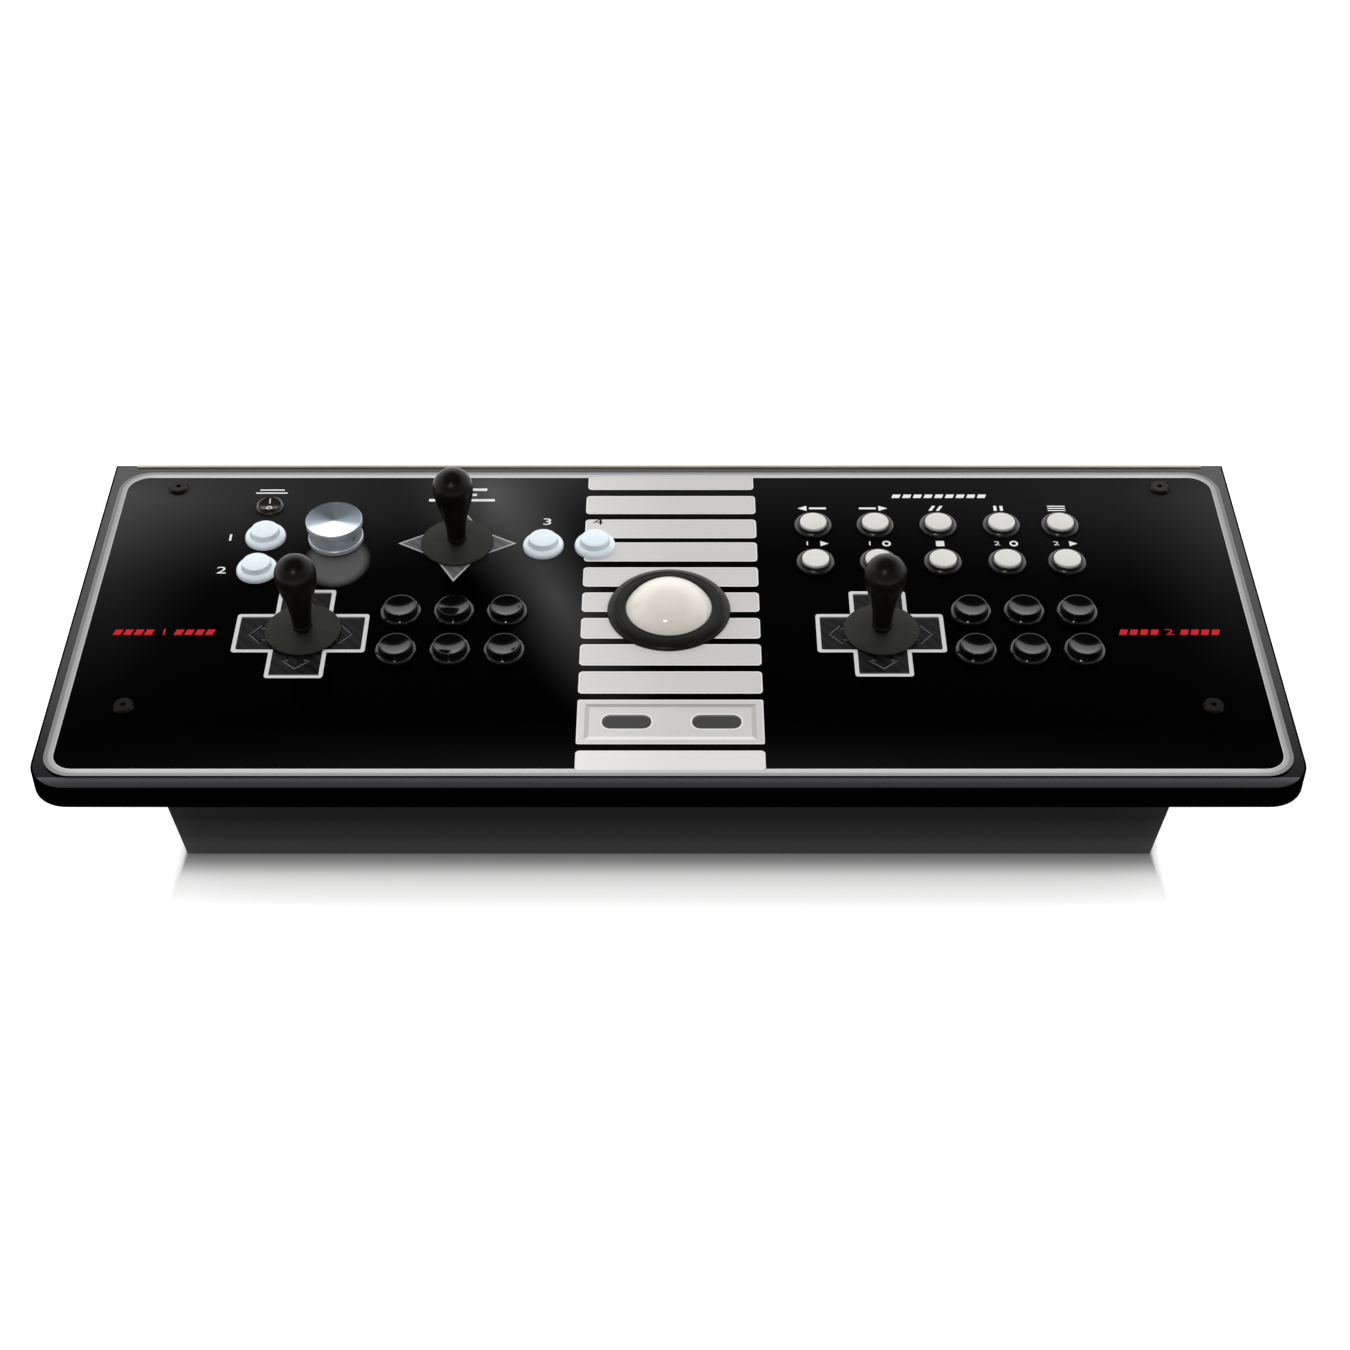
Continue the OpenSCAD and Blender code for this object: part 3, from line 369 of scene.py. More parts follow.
FINISH = {
    "laminate": laminate_gloss_painted_reflection("black_laminate"),
    "overlay": overlay_print_painted_sheen("overlay_gloss_black"),
    "molding": moulded("edge_molding_black", black(1), black(2), (0.2, 0.28), 700, 0.00001, 30,
                       IOR=1.01, Specular_IOR_Level=0.0),
    "strip": moulded("champagne_strip", tone(176, 168, 148), tone(190, 182, 160), (0.3, 0.42), 900,
                     0.00001, 14, metallic=0.7),
    "box": box_paint_painted_light("box_satin_paint_painted_light", BOX_LOW.z, BOX_HIGH.z),
    "board": pressed_board("bottom_board", tone(112, 88, 62), tone(146, 118, 86)),
    "rubber": moulded("foot_rubber", black(22), black(30), (0.75, 0.9), 1300, 0.00006),
    "bronze": moulded("blackened_bronze", tone(13, 8, 6), tone(24, 15, 11), (0.12, 0.2), 1500,
                      0.00001, 160, metallic=0.6, Specular_IOR_Level=0.25),
    "inner": moulded("inner_plastic", black(30), black(38), (0.4, 0.55), 1100, 0.00003),
    "switch": moulded("switch_plastic", black(26), black(34), (0.35, 0.5), 1200, 0.00003),
    "black_gloss": moulded("button_gloss_black", black(7), black(10), (0.06, 0.1), 500, 0.000003, 40,
                           Specular_IOR_Level=0.5),
    "menu_black": moulded("menu_bezel_black", black(14), black(20), (0.2, 0.3), 900, 0.00001, 60),
    "white_gloss": moulded("button_gloss_white", tone(224, 236, 243), tone(230, 240, 247), (0.12, 0.2), 500,
                           0.000003, 30, Specular_IOR_Level=0.5, Subsurface_Weight=0.08,
                           Subsurface_Scale=0.002),
    "menu_white": moulded("menu_cap_white", tone(210, 209, 204), tone(216, 215, 210), (0.25, 0.35), 900,
                          0.000006, 30, Subsurface_Weight=0.08, Subsurface_Scale=0.002),
    "ivory": moulded("ball_ivory", tone(228, 224, 214), tone(233, 229, 219), (0.05, 0.09), 300, 0.000002,
                     18, Subsurface_Weight=0.15, Subsurface_Scale=0.004),
    "ring": moulded("ring_plastic", tone(19, 18, 17), tone(24, 23, 21), (0.24, 0.34), 1300, 0.000015, 45,
                    Specular_IOR_Level=0.15),
    "bat": moulded("bat_plastic", tone(10, 9, 8), tone(18, 15, 13), (0.26, 0.36), 1400, 0.00003, 50,
                   Specular_IOR_Level=0.12),
    "washer": moulded("washer_plastic", tone(35, 35, 31), tone(41, 41, 36), (0.5, 0.62), 1800, 0.00004, 70,
                      Specular_IOR_Level=0.12),
    "slip": moulded("slip_washer_plastic", tone(120, 120, 114), tone(132, 132, 126), (0.4, 0.5)),
    "steel": moulded("bright_steel", tone(176, 178, 180), tone(196, 197, 198), (0.16, 0.26), 900, 0.00001,
                     90, metallic=1.0),
    "knob_top": turned_metal("turned_aluminium_face", tone(214, 220, 226), tone(232, 237, 242), KNOB, 0.3,
                             PAINTED_FACE_SHEEN, 0.16, 0.75),
    "knob_side": moulded("turned_aluminium_side", tone(176, 184, 191), tone(196, 203, 209), (0.34, 0.42),
                         900, 0.00001, 60, metallic=0.35),
    "rocker": moulded("rocker_plastic", tone(30, 24, 19), tone(38, 31, 25), (0.2, 0.3), 1200, 0.00001, 90),
    "circuit": circuit_finish("circuit_board"),
    "stripe": stripe_print("stripe_silver", tone(213, 211, 209), tone(199, 197, 196)),
    "stripe_front": stripe_print("stripe_silver_front", tone(230, 228, 227), tone(218, 216, 215)),
    "stripe_rim": stripe_print("stripe_rim_light", tone(232, 231, 230), tone(226, 225, 224)),
    "border_line": border_print_painted_shade("border_inner_line", tone(226, 226, 226), tone(184, 184, 184)),
    "border_light": border_print_painted_shade("border_light_band", tone(194, 193, 193), tone(160, 160, 160)),
    "border_grey": border_print_painted_shade("border_grey_band", tone(152, 152, 153), tone(128, 128, 129)),
    "bevel_dark": stripe_print("block_bevel_dark", tone(164, 162, 160), tone(158, 156, 154)),
    "bevel_side": stripe_print("block_bevel_side", tone(186, 184, 182), tone(180, 178, 176)),
    "pill": stripe_print("pill_grey", tone(70, 70, 70), tone(62, 62, 62)),
    "pill_shade": stripe_print("pill_upper_line", tone(112, 112, 112), tone(104, 104, 104)),
    "pad_rim": stripe_print("pad_rim_silver", tone(208, 208, 208), tone(208, 208, 208)),
    "pad_field": hatched_print("pad_field_dark", black(10), black(22), 0.9),
    "pad_line": stripe_print("pad_upper_line", black(86), black(86)),
    "arrow_dark": stripe_print("arrow_line_dark", black(6), black(6)),
    "arrow_light": stripe_print("arrow_line_light", black(92), black(92)),
    "star_field": hatched_print("star_field_grey", black(80), black(96), 0.8),
    "star_rim": stripe_print("star_rim_light", black(168), black(168)),
    "mark_white": stripe_print("mark_white", black(232), black(232)),
    "mark_red": stripe_print("mark_red", tone(196, 22, 30), tone(196, 22, 30)),
}

# ---- mesh helpers: every size below is in millimetres ----


def to_mesh(name, bm, shut=True):
    """Ends a bmesh drawn in millimetres: outward faces, and metres."""
    if shut:
        bmesh.ops.recalc_face_normals(bm, faces=bm.faces)
    bmesh.ops.scale(bm, vec=(MM, MM, MM), verts=bm.verts)
    mesh = bpy.data.meshes.new(name)
    bm.to_mesh(mesh)
    bm.free()
    return mesh


def lathe(profile, sides=96, shut=False):
    """Turns (radius, height) points about the upright axis."""
    bm = bmesh.new()
    turns = [2 * math.pi * i / sides for i in range(sides)]
    rings = []
    for r, z in profile:
        if r < 1e-6:
            rings.append([bm.verts.new((0, 0, z))])
        else:
            rings.append([bm.verts.new((r * math.cos(t), r * math.sin(t), z)) for t in turns])
    for low, high in zip(rings, rings[1:] + (rings[:1] if shut else [])):
        if len(low) == 1 and len(high) == 1:
            continue
        for i in range(sides):
            corners = []
            for v in (low[i % len(low)], low[(i + 1) % len(low)],
                      high[(i + 1) % len(high)], high[i % len(high)]):
                if v not in corners:
                    corners.append(v)
            bm.faces.new(corners)
    return to_mesh("turned", bm)


def soften(points, radius, steps=4, shut=False):
    """Rounds the corners of a profile; radius is one number, or one for each corner."""
    count = len(points)
    radii = radius if isinstance(radius, (list, tuple)) else [radius] * count
    made = []
    for i, (x, y) in enumerate(points):
        if radii[i] <= 0 or (not shut and i in (0, count - 1)):
            made.append((x, y))
            continue
        here = Vector((x, y))
        back = Vector(points[i - 1]) - here
        ahead = Vector(points[(i + 1) % count]) - here
        turn = back.angle(ahead)
        if turn > math.pi - 0.05:
            made.append((x, y))
            continue
        reach = min(radii[i] / math.tan(turn / 2), 0.45 * back.length, 0.45 * ahead.length)
        r = reach * math.tan(turn / 2)
        centre = here + (back.normalized() + ahead.normalized()).normalized() * r / math.sin(turn / 2)
        start = here + back.normalized() * reach - centre
        end = here + ahead.normalized() * reach - centre
        swing = start.angle_signed(end)
        for k in range(steps + 1):
            made.append(tuple(centre + Matrix.Rotation(-swing * k / steps, 2) @ start))
    return made


def slab(loops, low, high):
    """A closed flat plate: the first loop is its outline and the others are holes."""
    bm = bmesh.new()
    flat = [point for loop in loops for point in loop]
    tops = [bm.verts.new((x, y, high)) for x, y in flat]
    feet = [bm.verts.new((x, y, low)) for x, y in flat]
    for face in tessellate_polygon([[Vector((x, y, 0)) for x, y in loop] for loop in loops]):
        bm.faces.new([tops[i] for i in face])
        bm.faces.new([feet[i] for i in reversed(face)])
    start = 0
    for loop in loops:
        for i in range(len(loop)):
            a, b = start + i, start + (i + 1) % len(loop)
            bm.faces.new((feet[a], feet[b], tops[b], tops[a]))
        start += len(loop)
    return to_mesh("slab", bm)


def block(low, high, edge=0.3):
    """A box with rounded edges between two corners."""
    bm = bmesh.new()
    bmesh.ops.create_cube(bm, size=1)
    size = [h - l for l, h in zip(low, high)]
    bmesh.ops.scale(bm, vec=size, verts=bm.verts)
    bmesh.ops.translate(bm, vec=[(l + h) / 2 for l, h in zip(low, high)], verts=bm.verts)
    bmesh.ops.bevel(bm, geom=bm.edges[:], offset=edge, segments=2, profile=0.5, affect="EDGES")
    return to_mesh("block", bm)


def ring_loop(centre, radius, sides=64):
    turns = [2 * math.pi * i / sides for i in range(sides)]
    return [(centre[0] + radius * math.cos(t), centre[1] + radius * math.sin(t)) for t in turns]


def box_loop(x0, y0, x1, y1, radii, steps=6):
    """A rectangle with rounded corners, from its front left corner round to the back left one."""
    radii = radii if isinstance(radii, (list, tuple)) else [radii] * 4
    return soften([(x0, y0), (x1, y0), (x1, y1), (x0, y1)], list(radii), steps, True)


def moved(mesh, x=0, y=0, z=0, turn=0, axis="Z"):
    """Turns a mesh about the origin, then moves it."""
    spin = Matrix.Rotation(math.radians(turn), 4, axis)
    mesh.transform(Matrix.Translation((x * MM, y * MM, z * MM)) @ spin)
    return mesh


def joined(meshes):
    """One mesh from several."""
    bm = bmesh.new()
    for mesh in meshes:
        bm.from_mesh(mesh)
    whole = bpy.data.meshes.new("joined")
    bm.to_mesh(whole)
    bm.free()
    return whole


def evaluated(piece):
    """The plain mesh that a piece's modifiers give; the piece itself is removed."""
    depsgraph = bpy.context.evaluated_depsgraph_get()
    mesh = bpy.data.meshes.new_from_object(piece.evaluated_get(depsgraph))
    bpy.data.objects.remove(piece)
    return mesh


def loose(mesh, name="loose"):
    """A mesh on an object of its own, in the scene."""
    piece = bpy.data.objects.new(name, mesh)
    scene.collection.objects.link(piece)
    return piece


def carved(mesh, tool):
    """A mesh with another one cut away from it."""
    piece, cutter = loose(mesh), loose(tool)
    cut = piece.modifiers.new("cut", "BOOLEAN")
    cut.operation = "DIFFERENCE"
    cut.solver = "EXACT"
    cut.object = cutter
    result = evaluated(piece)
    bpy.data.objects.remove(cutter)
    return result


def smooth(mesh, sharp=32):
    mesh.shade_smooth()
    mesh.set_sharp_from_angle(angle=math.radians(sharp))
    return mesh


def piece(name, mesh, finish, body, slot, stands_for=(), sharp=32):
    """A finished piece, on its body and with its material."""
    mesh.name = name
    made = loose(smooth(mesh, sharp), name)
    mesh.materials.clear()
    mesh.materials.append(FINISH[finish])
    if stands_for:
        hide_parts(*stands_for)
    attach(made, body)
    return made


# ---- trees that repeat a piece, or carry a section along a path ----


def socket(tree, name, kind):
    return tree.interface.new_socket(name, in_out="INPUT", socket_type="NodeSocket" + kind)


def repeating_tree():
    """Sets one copy of a piece on every point."""
    tree = bpy.data.node_groups.new("repeat_on_points", "GeometryNodeTree")
    socket(tree, "Points", "Geometry")
    inputs = {name: socket(tree, name, kind).identifier
              for name, kind in (("Piece", "Object"), ("Turn", "Float"), ("Size", "Float"),
                                 ("Finish", "Material"))}
    tree.interface.new_socket("Geometry", in_out="OUTPUT", socket_type="NodeSocketGeometry")
    given, result = add(tree, "NodeGroupInput"), add(tree, "NodeGroupOutput")
    source = add(tree, "GeometryNodeObjectInfo", {"transform_space": "ORIGINAL"})
    place = add(tree, "GeometryNodeInstanceOnPoints")
    turn = add(tree, "ShaderNodeCombineXYZ")
    real = add(tree, "GeometryNodeRealizeInstances")
    paint = add(tree, "GeometryNodeSetMaterial")
    link(tree, given, "Piece", source, "Object")
    link(tree, given, "Points", place, "Points")
    link(tree, source, "Geometry", place, "Instance")
    link(tree, given, "Turn", turn, "Z")
    link(tree, turn, "Vector", place, "Rotation")
    link(tree, given, "Size", place, "Scale")
    link(tree, place, "Instances", real, "Geometry")
    link(tree, real, "Geometry", paint, "Geometry")
    link(tree, given, "Finish", paint, "Material")
    link(tree, paint, "Geometry", result, "Geometry")
    return tree, inputs


def sweeping_tree():
    """Carries a rounded rectangular section along a flat path."""
    tree = bpy.data.node_groups.new("sweep_section", "GeometryNodeTree")
    socket(tree, "Path", "Geometry")
    inputs = {name: socket(tree, name, kind).identifier
              for name, kind in (("Thickness", "Float"), ("Height", "Float"), ("Edge radius", "Float"),
                                 ("Finish", "Material"))}
    tree.interface.new_socket("Geometry", in_out="OUTPUT", socket_type="NodeSocketGeometry")
    given, result = add(tree, "NodeGroupInput"), add(tree, "NodeGroupOutput")
    section = add(tree, "GeometryNodeCurvePrimitiveQuadrilateral", {"mode": "RECTANGLE"})
    eased = add(tree, "GeometryNodeFilletCurve", {"mode": "POLY"}, Count=5)
    upright = add(tree, "GeometryNodeSetCurveNormal", {"mode": "Z_UP"})
    swept = add(tree, "GeometryNodeCurveToMesh", Fill_Caps=True)
    real = add(tree, "GeometryNodeRealizeInstances")
    paint = add(tree, "GeometryNodeSetMaterial")
    link(tree, given, "Thickness", section, "Width")
    link(tree, given, "Height", section, "Height")
    link(tree, section, "Curve", eased, "Curve")
    link(tree, given, "Edge radius", eased, "Radius")
    link(tree, given, "Path", upright, "Curve")
    link(tree, upright, "Curve", swept, "Curve")
    link(tree, eased, "Curve", swept, "Profile Curve")
    link(tree, swept, "Mesh", real, "Geometry")
    link(tree, real, "Geometry", paint, "Geometry")
    link(tree, given, "Finish", paint, "Material")
    link(tree, paint, "Geometry", result, "Geometry")
    return tree, inputs


REPEAT, REPEAT_INPUTS = repeating_tree()
SWEEP, SWEEP_INPUTS = sweeping_tree()


def grown(holder, tree, inputs, values):
    """The mesh that a tree makes on a holder object, with its named inputs set."""
    modifier = holder.modifiers.new("grow", "NODES")
    modifier.node_group = tree
    for name, value in values.items():
        modifier[inputs[name]] = value
    return evaluated(holder)


def repeated(mesh, points, finish, turn=0.0):
    """One mesh with a copy of a piece at each (x, y) on the overlay's top."""
    spots = bpy.data.meshes.new("spots")
    spots.from_pydata([(x * MM, y * MM, TOP * MM) for x, y in points], [], [])
    source = loose(smooth(mesh), "source")
    result = grown(loose(spots), REPEAT, REPEAT_INPUTS,
                   {"Piece": source, "Turn": turn, "Size": 1.0, "Finish": FINISH[finish]})
    bpy.data.objects.remove(source)
    return result


def swept(points, height_at, thickness, height, edge, finish):
    """One mesh with a section carried along an open path at one height."""
    curve = bpy.data.curves.new("path", "CURVE")
    curve.dimensions = "3D"
    line = curve.splines.new("POLY")
    line.points.add(len(points) - 1)
    for spot, (x, y) in zip(line.points, points):
        spot.co = (x * MM, y * MM, height_at * MM, 1)
    return grown(loose(curve), SWEEP, SWEEP_INPUTS,
                 {"Thickness": thickness * MM, "Height": height * MM, "Edge radius": edge * MM,
                  "Finish": FINISH[finish]})


# ---- deck edge ----

DECK_W = DECK_HIGH.x - DECK_LOW.x
DECK_FRONT, DECK_BACK = DECK_LOW.y, DECK_HIGH.y
MOLDING_T = 1.6
CORNER_R = 28
STRIP = [445.5, 3.5, 1.0]  # half width, depth, height above the deck board


def deck_edge():
    """The black moulding round three edges, and the pale strip let into the back one."""
    half = DECK_W / 2 - MOLDING_T / 2
    front = DECK_FRONT + MOLDING_T / 2
    corner = CORNER_R - MOLDING_T / 2
    path = soften([(-half, DECK_BACK), (-half, front), (half, front), (half, DECK_BACK)],
                  [0, corner, corner, 0], 16)
    base, rise = span("deck_board")
    height = rise.z - base.z
    molding = swept(path, (base.z + rise.z) / 2, MOLDING_T, height, 0.75, "molding")
    piece("edge_molding_cap", molding, "molding", "panel", "edge_plastic", ["edge_molding"])
    strip = block((-STRIP[0], DECK_BACK - STRIP[1], base.z), (STRIP[0], DECK_BACK, rise.z + STRIP[2]), 0.35)
    piece("back_strip", strip, "strip", "panel", "back_strip")


# ---- printed overlay ----

INK = 0.03       # thickness of a printed layer
INK_OVER = 0.04  # a second layer, over the first
STRIPE_X = (-67.9, 70.6)
STRIPES = [(123.9, 147.5), (92.7, 116.6), (63.3, 87.2), (32.4, 55.9), (2.0, 25.1),
           (-29.3, -5.4), (-60.0, -36.0), (-91.4, -66.9)]
TOP_STRIPE = 155.9
LAST_STRIPE = -152.5
BLOCK_Y = (-145.7, -98.2)
BORDER = [0.25, 3.4, 6.6, 7.4]  # insets of the border's bands from the overlay's edge


def ink(loops, over=False):
    return slab(loops, TOP, TOP + (INK_OVER if over else INK))


def overlay_loop(inset):
    radii = [23 - inset, 23 - inset, 25 - inset, 25 - inset]
    return box_loop(OVERLAY_LOW.x + inset, OVERLAY_LOW.y + inset,
                    OVERLAY_HIGH.x - inset, OVERLAY_HIGH.y - inset, radii, 14)


def printed(name, meshes, finish):
    piece(name, joined(meshes), finish, "panel", "overlay_plastic")


def overlay_border():
    bands = (("border_grey_band", "border_grey"), ("border_light_band", "border_light"),
             ("border_inner_line", "border_line"))
    for (name, finish), outer, inner in zip(bands, BORDER, BORDER[1:]):
        printed(name, [ink([overlay_loop(outer), overlay_loop(inner)])], finish)


def control_cutter():
    """What the stripes are cut back to: the trackball's ring and the nearest button."""
    near = [(middle(n).x, middle(n).y) for n in WHITE if middle(n).x > STRIPE_X[0] - 20]
    tools = [lathe([(0, -2), (46.5, -2), (46.5, 2), (0, 2)], 96)]
    moved(tools[0], BALL.x, BALL.y, TOP)
    tools += [moved(lathe([(0, -2), (14.5, -2), (14.5, 2), (0, 2)], 64), x, y, TOP) for x, y in near]
    return joined(tools)


def stripes():
    """Silver bars across the middle, each a face on a lighter rim."""
    rim = 0.9
    x0, x1 = STRIPE_X
    back, front = OVERLAY_HIGH.y - BORDER[3], OVERLAY_LOW.y + BORDER[3]
    rims = [box_loop(x0, y0, x1, y1, 3.2) for y0, y1 in STRIPES]
    faces = [box_loop(x0 + rim, y0 + rim, x1 - rim, y1 - rim, 2.6) for y0, y1 in STRIPES]
    rims.append(box_loop(x0 + 1, TOP_STRIPE, x1 - 1, back + 1, [3.2, 3.2, 0, 0]))
    faces.append(box_loop(x0 + 1 + rim, TOP_STRIPE + rim, x1 - 1 - rim, back + 1, [2.6, 2.6, 0, 0]))
    rims.append(box_loop(x0, front - 1, x1, LAST_STRIPE, [0, 0, 3.2, 3.2]))
    last = box_loop(x0 + rim, front - 1, x1 - rim, LAST_STRIPE - rim, [0, 0, 2.6, 2.6])
    rims = carved(joined([ink([loop]) for loop in rims]), control_cutter())
    faces = carved(joined([ink([loop], True) for loop in faces]), control_cutter())
    printed("stripe_rims", [rims], "stripe_rim")
    printed("stripe_faces", [faces], "stripe")
    printed("front_stripe_face", [ink([last], True)], "stripe_front")


def bevelled_block():
    """The framed block below the stripes, with its drawn bevel and two long slots."""
    x0, x1 = STRIPE_X
    y0, y1 = BLOCK_Y
    frame_w, bevel = 5.6, 3.4
    ix0, iy0, ix1, iy1 = x0 + frame_w, y0 + frame_w - 1, x1 - frame_w, y1 - frame_w + 1
    cx0, cy0, cx1, cy1 = ix0 + bevel, iy0 + bevel, ix1 - bevel, iy1 - bevel
    printed("block_rim", [ink([box_loop(x0, y0, x1, y1, 1.6)])], "stripe_rim")
    frame = [box_loop(x0 + 0.9, y0 + 0.9, x1 - 0.9, y1 - 0.9, 1.2),
             [(ix0, iy0), (ix1, iy0), (ix1, iy1), (ix0, iy1)]]
    middle_face = [[(cx0, cy0), (cx1, cy0), (cx1, cy1), (cx0, cy1)]]
    printed("block_faces", [ink(frame, True), ink(middle_face, True)], "stripe")
    printed("block_bevel_back", [ink([[(cx0, cy1), (cx1, cy1), (ix1, iy1), (ix0, iy1)]], True)],
            "bevel_dark")
    sides = [ink([[(ix0, iy0), (cx0, cy0), (cx0, cy1), (ix0, iy1)]], True),
             ink([[(cx1, cy0), (ix1, iy0), (ix1, iy1), (cx1, cy1)]], True)]
    printed("block_bevel_sides", sides, "bevel_side")
    slots = (-31.0, 35.7)
    half_w, half_h = 19.4, 8.5
    middle_y = (cy0 + cy1) / 2
    raised = TOP + INK_OVER
    for name, finish, less, lift in (("slot_rims", "mark_white", 0, 0.01),
                                     ("slot_lines", "pill_shade", 1, 0.02)):
        printed(name, [slab([box_loop(x - half_w + less, middle_y - half_h + less, x + half_w - less,
                                      middle_y + half_h - less, half_h - less)], raised, raised + lift)
                       for x in slots], finish)
    printed("slot_faces", [slab([box_loop(x - half_w + 1.6, middle_y - half_h + 1.2, x + half_w - 1.6,
                                          middle_y + half_h - 2.8, half_h - 2.2)], raised, raised + 0.03)
                           for x in slots], "pill")


def cross_loop(x, y, half, arm, radius):
    """A plus sign's outline about a centre."""
    quarter = [(half, -arm), (half, arm), (arm, arm)]
    points = []
    for turn in range(4):
        c, s = round(math.cos(turn * math.pi / 2)), round(math.sin(turn * math.pi / 2))
        points += [(x + c * px - s * py, y + s * px + c * py) for px, py in quarter]
    return soften(points, radius, 4, True)


def ribbon(points, width):
    """The outline of a line of that width with mitred corners, open at its ends."""
    spots = [Vector(p) for p in points]
    left, right = [], []
    for i, spot in enumerate(spots):
        ahead = (spots[min(i + 1, len(spots) - 1)] - spot).normalized() if i < len(spots) - 1 else None
        back = (spot - spots[i - 1]).normalized() if i else None
        along = ((ahead or back) + (back or ahead)).normalized()
        side = Vector((-along.y, along.x))
        reach = width / 2 / max(0.3, abs(side.dot(Vector((-(ahead or back).y, (ahead or back).x)))))
        left.append(tuple(spot + side * reach))
        right.append(tuple(spot - side * reach))
    return left + right[::-1]


def shifted(points, x, y, turn=0):
    c, s = math.cos(math.radians(turn)), math.sin(math.radians(turn))
    return [(x + c * px - s * py, y + s * px + c * py) for px, py in points]


def stick_pads():
    """The plus-shaped pads printed under the two front sticks."""
    arm, rim = 22.2, 3.2
    head = [(30.0, 11.0), (39.5, 0), (30.0, -11.0)]
    stub = [(22.0, 6.6), (30.0, 6.6), (30.0, 11.0)]
    rims, fields, lines, dark, light = [], [], [], [], []
    for node, half, off in zip(STICKS, (51.2, 49.5), (-1.6, -0.7)):
        x, y = middle(node).x + off, middle(node).y - 2.5
        hole = ring_loop(middle(node), 12.4)
        rims.append(ink([cross_loop(x, y, half, arm, [2.5, 2.5, 1] * 4),
                         cross_loop(x, y, half - rim, arm - rim, [1.5, 1.5, 0.5] * 4)]))
        fields.append(ink([cross_loop(x, y, half - rim, arm - rim, [1.5, 1.5, 0.5] * 4), hole]))
        inner, reach = arm - rim, half - rim
        edge_lines = [[(x - inner, y + reach - 1.0), (x + inner, y + reach - 1.0)],
                      [(x - reach, y + inner - 1.0), (x - inner, y + inner - 1.0)],
                      [(x + inner, y + inner - 1.0), (x + reach, y + inner - 1.0)],
                      [(x - inner, y - reach + 0.3), (x + inner, y - reach + 0.3)]]
        lines += [slab([ribbon(p, 1.2)], TOP + INK, TOP + INK_OVER) for p in edge_lines]
        for turn in (0, 90, 180, 270):
            for store, drop in ((dark, 0.0), (light, -1.3)):
                strokes = [head, stub, [(px, -py) for px, py in stub]]
                for stroke in strokes:
                    placed = shifted(shifted(stroke, 0, 0, turn), x, y + drop)
                    store.append(slab([ribbon(placed, 1.1)], TOP + INK, TOP + INK_OVER))
    printed("pad_rims", rims, "pad_rim")
    printed("pad_fields", fields, "pad_field")
    printed("pad_upper_lines", lines, "pad_line")
    printed("pad_arrows_light", light, "arrow_light")
    printed("pad_arrows_dark", dark, "arrow_dark")


def stick_star():
    """The four-pointed star printed under the back stick."""
    centre = middle(STICKS[2])
    def star(tip, waist):
        points = []
        for turn in range(4):
            t = turn * math.pi / 2
            points.append((centre.x + tip * math.cos(t), centre.y + tip * math.sin(t)))
            t += math.pi / 4
            points.append((centre.x + waist * math.cos(t), centre.y + waist * math.sin(t)))
        return points
    outer, inner = star(47.6, 24.5), star(44.4, 23.4)
    printed("star_rim", [ink([outer, inner])], "star_rim")
    printed("star_field", [ink([inner, ring_loop(centre, 12.4)])], "star_field")


# ---- printed marks: plain numerals and signs ----


def numeral(text, height, x, y, low=TOP, thickness=INK_OVER, stretch=1.5):
    """A numeral as a thin plate, its middle at (x, y)."""
    curve = bpy.data.curves.new("numeral", "FONT")
    curve.body = text
    curve.size = height * MM / 0.72
    curve.align_x, curve.align_y = "CENTER", "CENTER"
    curve.extrude = thickness / 2 * MM
    curve.resolution_u = 4
    mesh = evaluated(loose(curve))
    mesh.transform(Matrix.Diagonal((stretch, 1, 1, 1)))
    bm = bmesh.new()
    bm.from_mesh(mesh)
    bmesh.ops.remove_doubles(bm, verts=bm.verts, dist=1e-7)
    bm.to_mesh(mesh)
    bm.free()
    return moved(mesh, x, y, low + thickness / 2)


def marks_of(shapes, x, y, scale=1.0):
    """Thin plates from outlines drawn about the origin."""
    return [ink([[(x + px * scale, y + py * scale) for px, py in loop] for loop in loops], True)
            for loops in shapes]


def bar(x0, x1, height, slant=0.0):
    h = height / 2
    return [[(x0 - slant, -h), (x1 - slant, -h), (x1 + slant, h), (x0 + slant, h)]]


def menu_signs():
    """Small signs behind the menu buttons, and a row of bars as their heading."""
    left_arrow = [[(-8, 0), (-3, -2.3), (-3, 2.3)]]
    right_arrow = [[(8, 0), (3, 2.3), (3, -2.3)]]
    square = [box_loop(-2.3, -2.3, 2.3, 2.3, 0.4, 2)]
    disc = [ring_loop((5.5, 0), 2.4, 24), ring_loop((5.5, 0), 1.3, 24)]
    play = [[(3.5, -2.3), (8, 0), (3.5, 2.3)]]
    back_row = [[left_arrow, bar(-1.5, 8, 1.6)], [right_arrow, bar(-8, 1.5, 1.6)],
                [bar(-3, -1.2, 4.4, 1.2), bar(1.2, 3, 4.4, 1.2)],
                [bar(-2.6, -0.9, 4.4), bar(0.9, 2.6, 4.4)],
                [[[(px, py + lift) for px, py in bar(-5, 5, 0.9)[0]]] for lift in (-1.9, 0, 1.9)]]
    front_row = [[play], [disc], [square], [disc], [play]]
    numbers = ["1", "1", "", "2", "2"]
    made = []
    for i, node in enumerate(MENU):
        spot = middle(node)
        row, column = divmod(i, 5)
        y = spot.y + (24.0 if row == 0 else 25.0)
        made += marks_of((back_row, front_row)[row][column], spot.x, y, 1.45)
        if row and numbers[column]:
            made.append(numeral(numbers[column], 5.0, spot.x - 5.5, y))
    heading = middle(MENU[2])
    for i in range(9):
        made += marks_of([bar(-3.2, 3.2, 4.6, 0.8)], heading.x + 4 + (i - 4) * 8.8, heading.y + 40)
    return made


